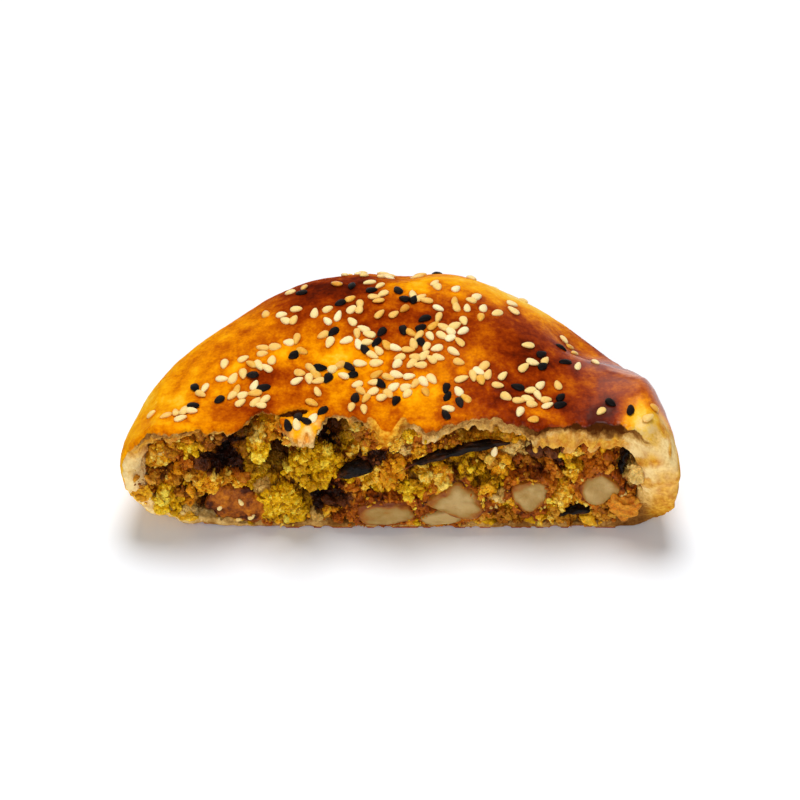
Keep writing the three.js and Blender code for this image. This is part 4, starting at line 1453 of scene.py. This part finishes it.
def facets(points, size):
    """Relief of flat facets of about this size, from about -1 to 1, each at its own height and tilt."""
    scaled = points / size
    cell = whole(scaled)
    closest = np.full(len(points), np.inf)
    relief = np.zeros(len(points))
    shifts = (101, 202, 303)
    for corner in np.ndindex(3, 3, 3):
        i, j, k = (cell + corner - 1).T
        jitter = columns(*(lattice_value(i + shift, j, k) for shift in shifts))
        tilt = columns(*(lattice_value(i, j + shift, k) for shift in shifts))
        away = scaled - (cell + corner - 0.5 + FACET["jitter"] * jitter)
        distance = np.sum(away * away, axis=1)
        slope = FACET["tilt"] * np.sum(tilt * away, axis=1)
        here = FACET["height"] * lattice_value(i, j, k + shifts[0]) + slope
        relief = np.where(distance < closest, here, relief)
        closest = np.minimum(closest, distance)
    return relief


def grain(points):
    """Relief of a broken crumb from about -1 to 1: angular grains of two sizes, and finer lumps."""
    size = GRAIN["size"]
    layers = (facets(points, size), facets(points, size / 2), space_noise(points, size / 3))
    return sum(share * layer for share, layer in zip(GRAIN["shares"], layers))


def core_tints(clumps, points, relief):
    x, y, z = points.T
    sunk = np.maximum(0, y - plain_front(x, z) - 1)
    lean_x, lean_z = CAVITY_LEAN
    nearest, first, second = nearest_clump(clumps, x + lean_x * sunk, z + lean_z * sunk)
    cover, owner = mass_cover(x, z)
    paste = nearness(x, z, pea_spaces()) + PASTE["edge"] * rough(points, 2) < PASTE["reach"][0]
    kinds = np.where(paste & clumps["pure"][nearest], "rust", mass_kinds(clumps, nearest, cover, owner))
    # Painted shade: darker in the crevices between clumps and in a rim just outside each mass
    crevice = bell((second - first) / CLUMP_RELIEF["border"])
    rim = smoothstep(*MASS_RIM_SHADE["from"], cover) * smoothstep(*MASS_RIM_SHADE["to"], cover)
    # Painted light where the grain stands out and on the masses, painted shade in the grain's gaps; the
    # patches are uneven colour
    shade = clumps["shade"][nearest] + CORE_SHADE["relief"] * relief
    shade = shade + CORE_SHADE["patch"] * rough(points + 50, 4) + CORE_SHADE["mass"] * cover
    shade = shade - CORE_SHADE["crevice"] * crevice - CORE_SHADE["rim"] * rim
    return tints(kinds, shade, cavity_depth(x, z) * (1 - cover))


# The crumbs
def random_turns(random, count):
    """Rotation matrices from evenly spread random quaternions."""
    q = random.normal(size=(count, 4))
    w, x, y, z = (q / np.linalg.norm(q, axis=1)[:, None]).T
    rows = [
        [1 - 2 * (y * y + z * z), 2 * (x * y - z * w), 2 * (x * z + y * w)],
        [2 * (x * y + z * w), 1 - 2 * (x * x + z * z), 2 * (y * z - x * w)],
        [2 * (x * z - y * w), 2 * (y * z + x * w), 1 - 2 * (x * x + y * y)],
    ]
    return np.moveaxis(np.array(rows), 2, 0)


def broken_crumb(level, variety):
    """A ball of triangles with flat breaks on several sides, and uneven."""
    random = np.random.default_rng(variety)
    shape = bmesh.new()
    bmesh.ops.create_icosphere(shape, subdivisions=level, radius=1)
    points = np.array([v.co[:] for v in shape.verts])
    triangles = np.array([[v.index for v in f.verts] for f in shape.faces])
    shape.free()
    for _ in range(CRUMB["breaks"]):
        towards = random.normal(size=3)
        towards = towards / np.linalg.norm(towards)
        beyond = np.maximum(0, points @ towards - random.uniform(*CRUMB["depth"]))
        points = points - CRUMB["flat"] * beyond[:, None] * towards
    swell = 1 + CRUMB["swell"] * rough(points + 31 * variety, 0.5, 3)
    return points * swell[:, None], triangles


def joined(shapes, middles, sizes, turns, picks):
    """Points and triangles of many copies of a few shapes, and the copy that each point belongs to."""
    points, triangles, copies = [], [], []
    offset = 0
    for k, (shape, faces) in enumerate(shapes):
        chosen = np.flatnonzero(picks == k)
        scaled = shape[None] * sizes[chosen][:, None]
        placed = np.einsum("nij,nkj->nki", turns[chosen], scaled) + middles[chosen][:, None]
        starts = offset + len(shape) * np.arange(len(chosen))
        points.append(placed.reshape(-1, 3))
        triangles.append((faces[None] + starts[:, None, None]).reshape(-1, 3))
        copies.append(np.repeat(chosen, len(shape)))
        offset += len(shape) * len(chosen)
    return np.concatenate(points), np.concatenate(triangles), np.concatenate(copies)


def kept_bits(kept, level, **values):
    """What is known of the bits of crumb that are kept, and how finely they are meshed."""
    return {"level": level, **{name: value[kept] for name, value in values.items()}}


def clear_of_base(y, z, size):
    return (z > LOWEST + BASE_CLEAR["bit"] * size) & (y - size > -LOWEST - BASE_LEAN * z)


def scatter_bits(rule, clumps, front):
    """Bits of crumb that lie on the broken face or stick to the dough round it."""
    random = np.random.default_rng(rule["draw"])
    count = rule["count"]
    x = random.uniform(-PIE_RADIUS, PIE_RADIUS, count)
    z = random.uniform(0, EDGE_HEIGHT, count)
    smallest, largest = rule["size"]
    size = smallest * (largest / smallest) ** (random.random(count) ** SCATTER["small"])
    nearest, _, _ = nearest_clump(clumps, x, z)
    cover, owner = mass_cover(x, z)
    kinds = mass_kinds(clumps, nearest, cover, owner)
    shades = np.clip(clumps["shade"][nearest] + random.normal(*SCATTER["lighter"], count), 0.1, 1)
    depth = cavity_depth(x, z) * (1 - cover)
    y = front(x, z) + SCATTER["sunk"] * size
    place = (x, np.maximum(y, 0), z + hanging_depth(x))
    inside = in_hollow(*place, SCATTER["clear"] * size)
    at_end = smoothstep(*STUCK["end_x"], x) * smoothstep(*STUCK["end_z"], z)
    reach = mix((from_left_to_right(STUCK["reach"], x), STUCK["end"]), at_end)
    reach = reach * random.random(count) ** STUCK["near"]
    stuck = ~inside & in_hollow(*place, -reach) & (z > STUCK["lowest"] + 0.5 * size)
    y = np.where(stuck, dough_front(x, z) - SCATTER["proud"] * size, y)
    apart = SCATTER["apart"] * size - rule["cover"]
    clear = nearness(x, z, pea_spaces() + other_spaces(), apart) > 1
    kept = (inside | stuck) & clear & clear_of_base(y, z, size)
    kept = kept & (random.random(count) > CAVITY_BARE * depth)
    in_paste = nearness(x, z, pea_spaces()) < PASTE["reach"][1]
    kept = kept & (random.random(count) > PASTE["bare"] * in_paste)
    place = columns(x, y, z)
    return kept_bits(kept, rule["level"], place=place, size=size, kind=kinds, shade=shades, depth=depth)


def pea_bulge(out):
    """How far a chickpea stands out of the face, as a share, at this share of the way to its outline."""
    return (1 - np.minimum(1, out) ** PEA["blunt"]) ** (1 / PEA["blunt"])


def rim_bits(clumps):
    """Bits of crumb that stick to the chickpeas close to their outlines."""
    random = np.random.default_rng(RIM_BITS["draw"])
    count = RIM_BITS["count"]
    picks = random.integers(0, len(CHICKPEAS), count)
    places = []
    for k, (middle, half, turn, sides, _) in enumerate(CHICKPEAS):
        on_pea = np.count_nonzero(picks == k)
        angle = random.uniform(0, 2 * math.pi, on_pea)
        out = random.uniform(*RIM_BITS["out"], on_pea)
        reach = out * many_sided(angle, sides, PEA["corner"])
        flat = columns(reach * np.cos(angle), -pea_bulge(out), reach * np.sin(angle)) * half
        places.append(turned_in_face(flat, turn) + middle)
    place = np.concatenate(places)
    x, y, z = place.T
    size = random.uniform(*RIM_BITS["size"], count)
    nearest, _, _ = nearest_clump(clumps, x, z)
    kept = clear_of_base(y, z, size) & (noise(x, z, RIM_LOOK["patch"]) > RIM_LOOK["bare"])
    kinds = np.where(random.random(count) < RIM_LOOK["rust"], "rust", clumps["kind"][nearest])
    shades = random.uniform(*RIM_LOOK["shade"], count)
    depth = np.zeros(count)
    return kept_bits(kept, RIM_BITS["level"], place=place, size=size, kind=kinds, shade=shades, depth=depth)


def laid_lumps():
    """The larger lumps, as bits of crumb with a size along each axis."""
    x, z, out, halves, kinds, shades = (np.array(values) for values in zip(*LUMPS))
    place = columns(x, dough_front(x, z) - out, z)
    depth = np.zeros(len(x))
    return kept_bits(slice(None), LUMP_LEVEL, place=place, size=halves, kind=kinds, shade=shades, depth=depth)


def bits_of(bits, kind, random):
    """A joined mesh of the bits of one kind: points, triangles, shades and depths in the cavities."""
    chosen = bits["kind"] == kind
    place, size, shade, depth = (bits[name][chosen] for name in ("place", "size", "shade", "depth"))
    count = len(size)
    shapes = [broken_crumb(bits["level"], k) for k in range(CRUMB["varieties"])]
    picks = random.integers(0, len(shapes), count)
    if size.ndim == 1:
        size = size[:, None] * random.uniform(*CRUMB_LOOK["stretch"], (count, 3))
        turns = random_turns(random, count)
    else:
        turns = np.tile(np.eye(3), (count, 1, 1))
    points, triangles, copy = joined(shapes, place, size, turns, picks)
    shade = shade[copy] + CRUMB_LOOK["shade"] * rough(points, CRUMB_LOOK["size"], 2)
    return points, triangles, shade, depth[copy]


def make_crumbs(kind, layers, material):
    random = np.random.default_rng(sum(map(ord, kind)))
    points, triangles, shades, depths = zip(*(bits_of(bits, kind, random) for bits in layers))
    starts = np.cumsum([0] + [len(some) for some in points])
    triangles = np.concatenate([some + start for some, start in zip(triangles, starts)])
    crumbs = mesh_object("crumbs_" + kind, np.concatenate(points), triangles.tolist())
    kinds = np.full(starts[-1], kind)
    write_layer(crumbs, "tint", tints(kinds, np.concatenate(shades), np.concatenate(depths)))
    hand_over(crumbs, material)


def make_filling():
    clumps = make_clumps()
    front = crumbly_front(clumps)
    core = pie_body("filling_core", hollow=True, gap=GAP)
    cut_away(core, broken_block("broken_face", front, FACE_STEP))
    keep_largest(core)
    x, y, z = read_points(core).T
    split_long_edges(core, 2 * FACE_STEP, np.abs(y - front(x, z)) < 0.5)
    points = read_points(core)
    x, y, z = points.T
    broken = smoothstep(2, 1, np.abs(y - front(x, z)))
    relief = grain(points)
    write_points(core, points + read_normals(core) * (broken * GRAIN["height"] * relief)[:, None])
    write_layer(core, "tint", core_tints(clumps, points, relief))
    material = crumb_material()
    hand_over(core, material, "filling", smooth=False)
    layers = [scatter_bits(rule, clumps, front) for rule in SCATTERED] + [rim_bits(clumps), laid_lumps()]
    for kind in PALETTES:
        make_crumbs(kind, layers, material)


# The larger pieces in the broken face
def make_chickpeas():
    material = chickpea_flesh()
    ball, faces = unit_ball(64)
    x, y, z = ball.T
    edge = np.hypot(x, z)
    through = np.sign(y) * pea_bulge(edge)
    for k, (middle, half, turn, sides, light) in enumerate(CHICKPEAS):
        outline = many_sided(np.arctan2(z, x), sides, PEA["corner"])
        swell = 1 + PEA["swell"] * noise(2 * x + k, 2 * z + 3 * y + k)
        swell = swell * (1 + PEA["rough"] * rough(ball + 5 * k, 0.5, 3))
        shape = columns(x * outline, through, z * outline) * swell[:, None]
        pea = mesh_object(f"pea_{k + 1}", turned_in_face(shape * half, turn) + middle, faces)
        skin = smoothstep(*PEA_SHADE["skin"], edge + PEA_SHADE["uneven"] * rough(ball + 4 * k, 0.5))
        patches = PEA_SHADE["patch"] * rough(ball + 9 * k, 0.7)
        write_layer(pea, "shade", light - PEA_SHADE["dark"] * skin + patches)
        hand_over(pea, material, f"chickpea_{k + 1}")


def make_aubergines():
    material = roasted_aubergine()
    ball, faces = unit_ball(80)
    y, along, z = ball.T
    for k, strip in enumerate(AUBERGINES):
        middle, half_length, turn = strip_frame(strip)
        bow, half, blunt = strip[2:]
        fat = np.sqrt(np.maximum(0, 1 - np.abs(along) ** blunt)) / np.sqrt(np.maximum(1e-9, 1 - along**2))
        fat = fat * (STRIP["fat"] + STRIP["uneven"] * noise(3 * along + 7 * k, 2.5) + STRIP["taper"] * along)
        wave = STRIP["wave"] * noise(4 * along + k, k)
        across = z * fat * half[0] + wave + bow * (1 - along**2)
        points = columns(along * half_length, y * fat * half[1], across)
        crumple = STRIP["crumple"] * rough(points * STRIP["stretch"] + 40 * k, 1.5)
        points = points + columns(along, y, z) * crumple[:, None]
        piece = mesh_object(f"strip_{k + 1}", turned_in_face(points, turn) + middle, faces)
        shade = STRIP_SHADE["level"] + STRIP_SHADE["start"] * smoothstep(*STRIP_SHADE["along"], -along)
        write_layer(piece, "shade", shade + STRIP_SHADE["patch"] * rough(points, 2))
        hand_over(piece, material, f"aubergine_{k + 1}")


def make_fragment():
    middle, half, turn = FRAGMENT
    ball, faces = unit_ball(96)
    x, y, z = ball.T
    angle, out = np.arctan2(z, x), np.hypot(x, z)
    rag = 1 + FRAGMENT_FORM["rag"] * rough(columns(x, 0 * y, z), 0.35, 3)
    reach = many_sided(angle, FRAGMENT_SIDES, FRAGMENT_FORM["corner"]) * out ** FRAGMENT_FORM["out"] * rag
    through = np.sign(y) * np.abs(y) ** FRAGMENT_FORM["flat"]
    points = columns(np.cos(angle) * reach, through, np.sin(angle) * reach)
    points = points * half * FRAGMENT_FORM["wider"]
    fold = np.abs(points[:, 2] + FRAGMENT_RELIEF["fold_slope"] * points[:, 0])
    relief = FRAGMENT_RELIEF["facet"] * facets(points, 2.6) + FRAGMENT_RELIEF["rough"] * rough(points, 1.4)
    points[:, 1] += relief + FRAGMENT_RELIEF["fold"] * fold
    piece = mesh_object("browned_fragment", turned_in_face(points, turn) + middle, faces)
    across, _, up = (points / half).T
    shade = FRAGMENT_SHADE["level"] + FRAGMENT_SHADE["right"] * smoothstep(0.55, 0.8, across)
    shade = shade - FRAGMENT_SHADE["edge"] * smoothstep(0.7, 1, out)
    shade = shade - FRAGMENT_SHADE["low"] * smoothstep(0.2, -0.6, up)
    write_layer(piece, "shade", shade + FRAGMENT_SHADE["patch"] * rough(points, 3))
    hand_over(piece, browned_fragment(), "crust_fragment")


# The stage
def make_floor():
    half, z = FLOOR["half"], FLOOR["z"]
    mesh = bpy.data.meshes.new("floor")
    corners = [(-half, -half, z), (half, -half, z), (half, half, z), (-half, half, z)]
    mesh.from_pydata(corners, [], [(0, 1, 2, 3)])
    finish = Finish("floor", roughness=0.8, specular=0)
    finish.feed(finish.shader, {"Base Color": FLOOR["colour"]})
    mesh.materials.append(finish.material)
    add_object("floor", mesh)


def make_lights():
    world = bpy.data.worlds.new("studio")
    world.use_nodes = True
    background = world.node_tree.nodes["Background"]
    background.inputs["Color"].default_value = (1, 1, 1, 1)
    background.inputs["Strength"].default_value = WORLD_LIGHT
    bpy.context.scene.world = world
    bpy.context.scene.view_settings.view_transform = "Standard"
    for name, (place, size, power, colour, unseen_by) in LIGHTS.items():
        data = bpy.data.lights.new(name, "AREA")
        data.shape = "DISK"
        data.size = size
        data.energy = power
        data.color = colour
        light = add_object(name, data)
        light.location = place
        light.rotation_euler = (LIGHT_TARGET - Vector(place)).to_track_quat("-Z", "Y").to_euler()
        if unseen_by:
            setattr(light, "visible_" + unseen_by, False)


def make_camera():
    data = bpy.data.cameras.new("camera")
    data.lens = CAMERA["lens"]
    data.sensor_width = CAMERA["sensor"]
    camera = add_object("camera", data)
    elevation = math.radians(CAMERA["elevation"])
    back = Vector((0, -math.cos(elevation), math.sin(elevation)))
    camera.location = (Vector(CAMERA["target"]) + back * CAMERA["distance"]) / 1000
    camera.rotation_euler = (-back).to_track_quat("-Z", "Y").to_euler()
    bpy.context.scene.camera = camera


make_camera()
make_lights()
make_floor()
light_places, dark_places = seed_places()
make_crust(light_places + dark_places)
make_seeds("sesame_seeds", on_top(light_places) + in_face(FACE_SEEDS), light_seed(), draw=3, angular=0.05)
make_seeds("black_seeds", on_top(dark_places), dark_seed(), draw=4, angular=0.16)
make_filling()
make_chickpeas()
make_aubergines()
make_fragment()
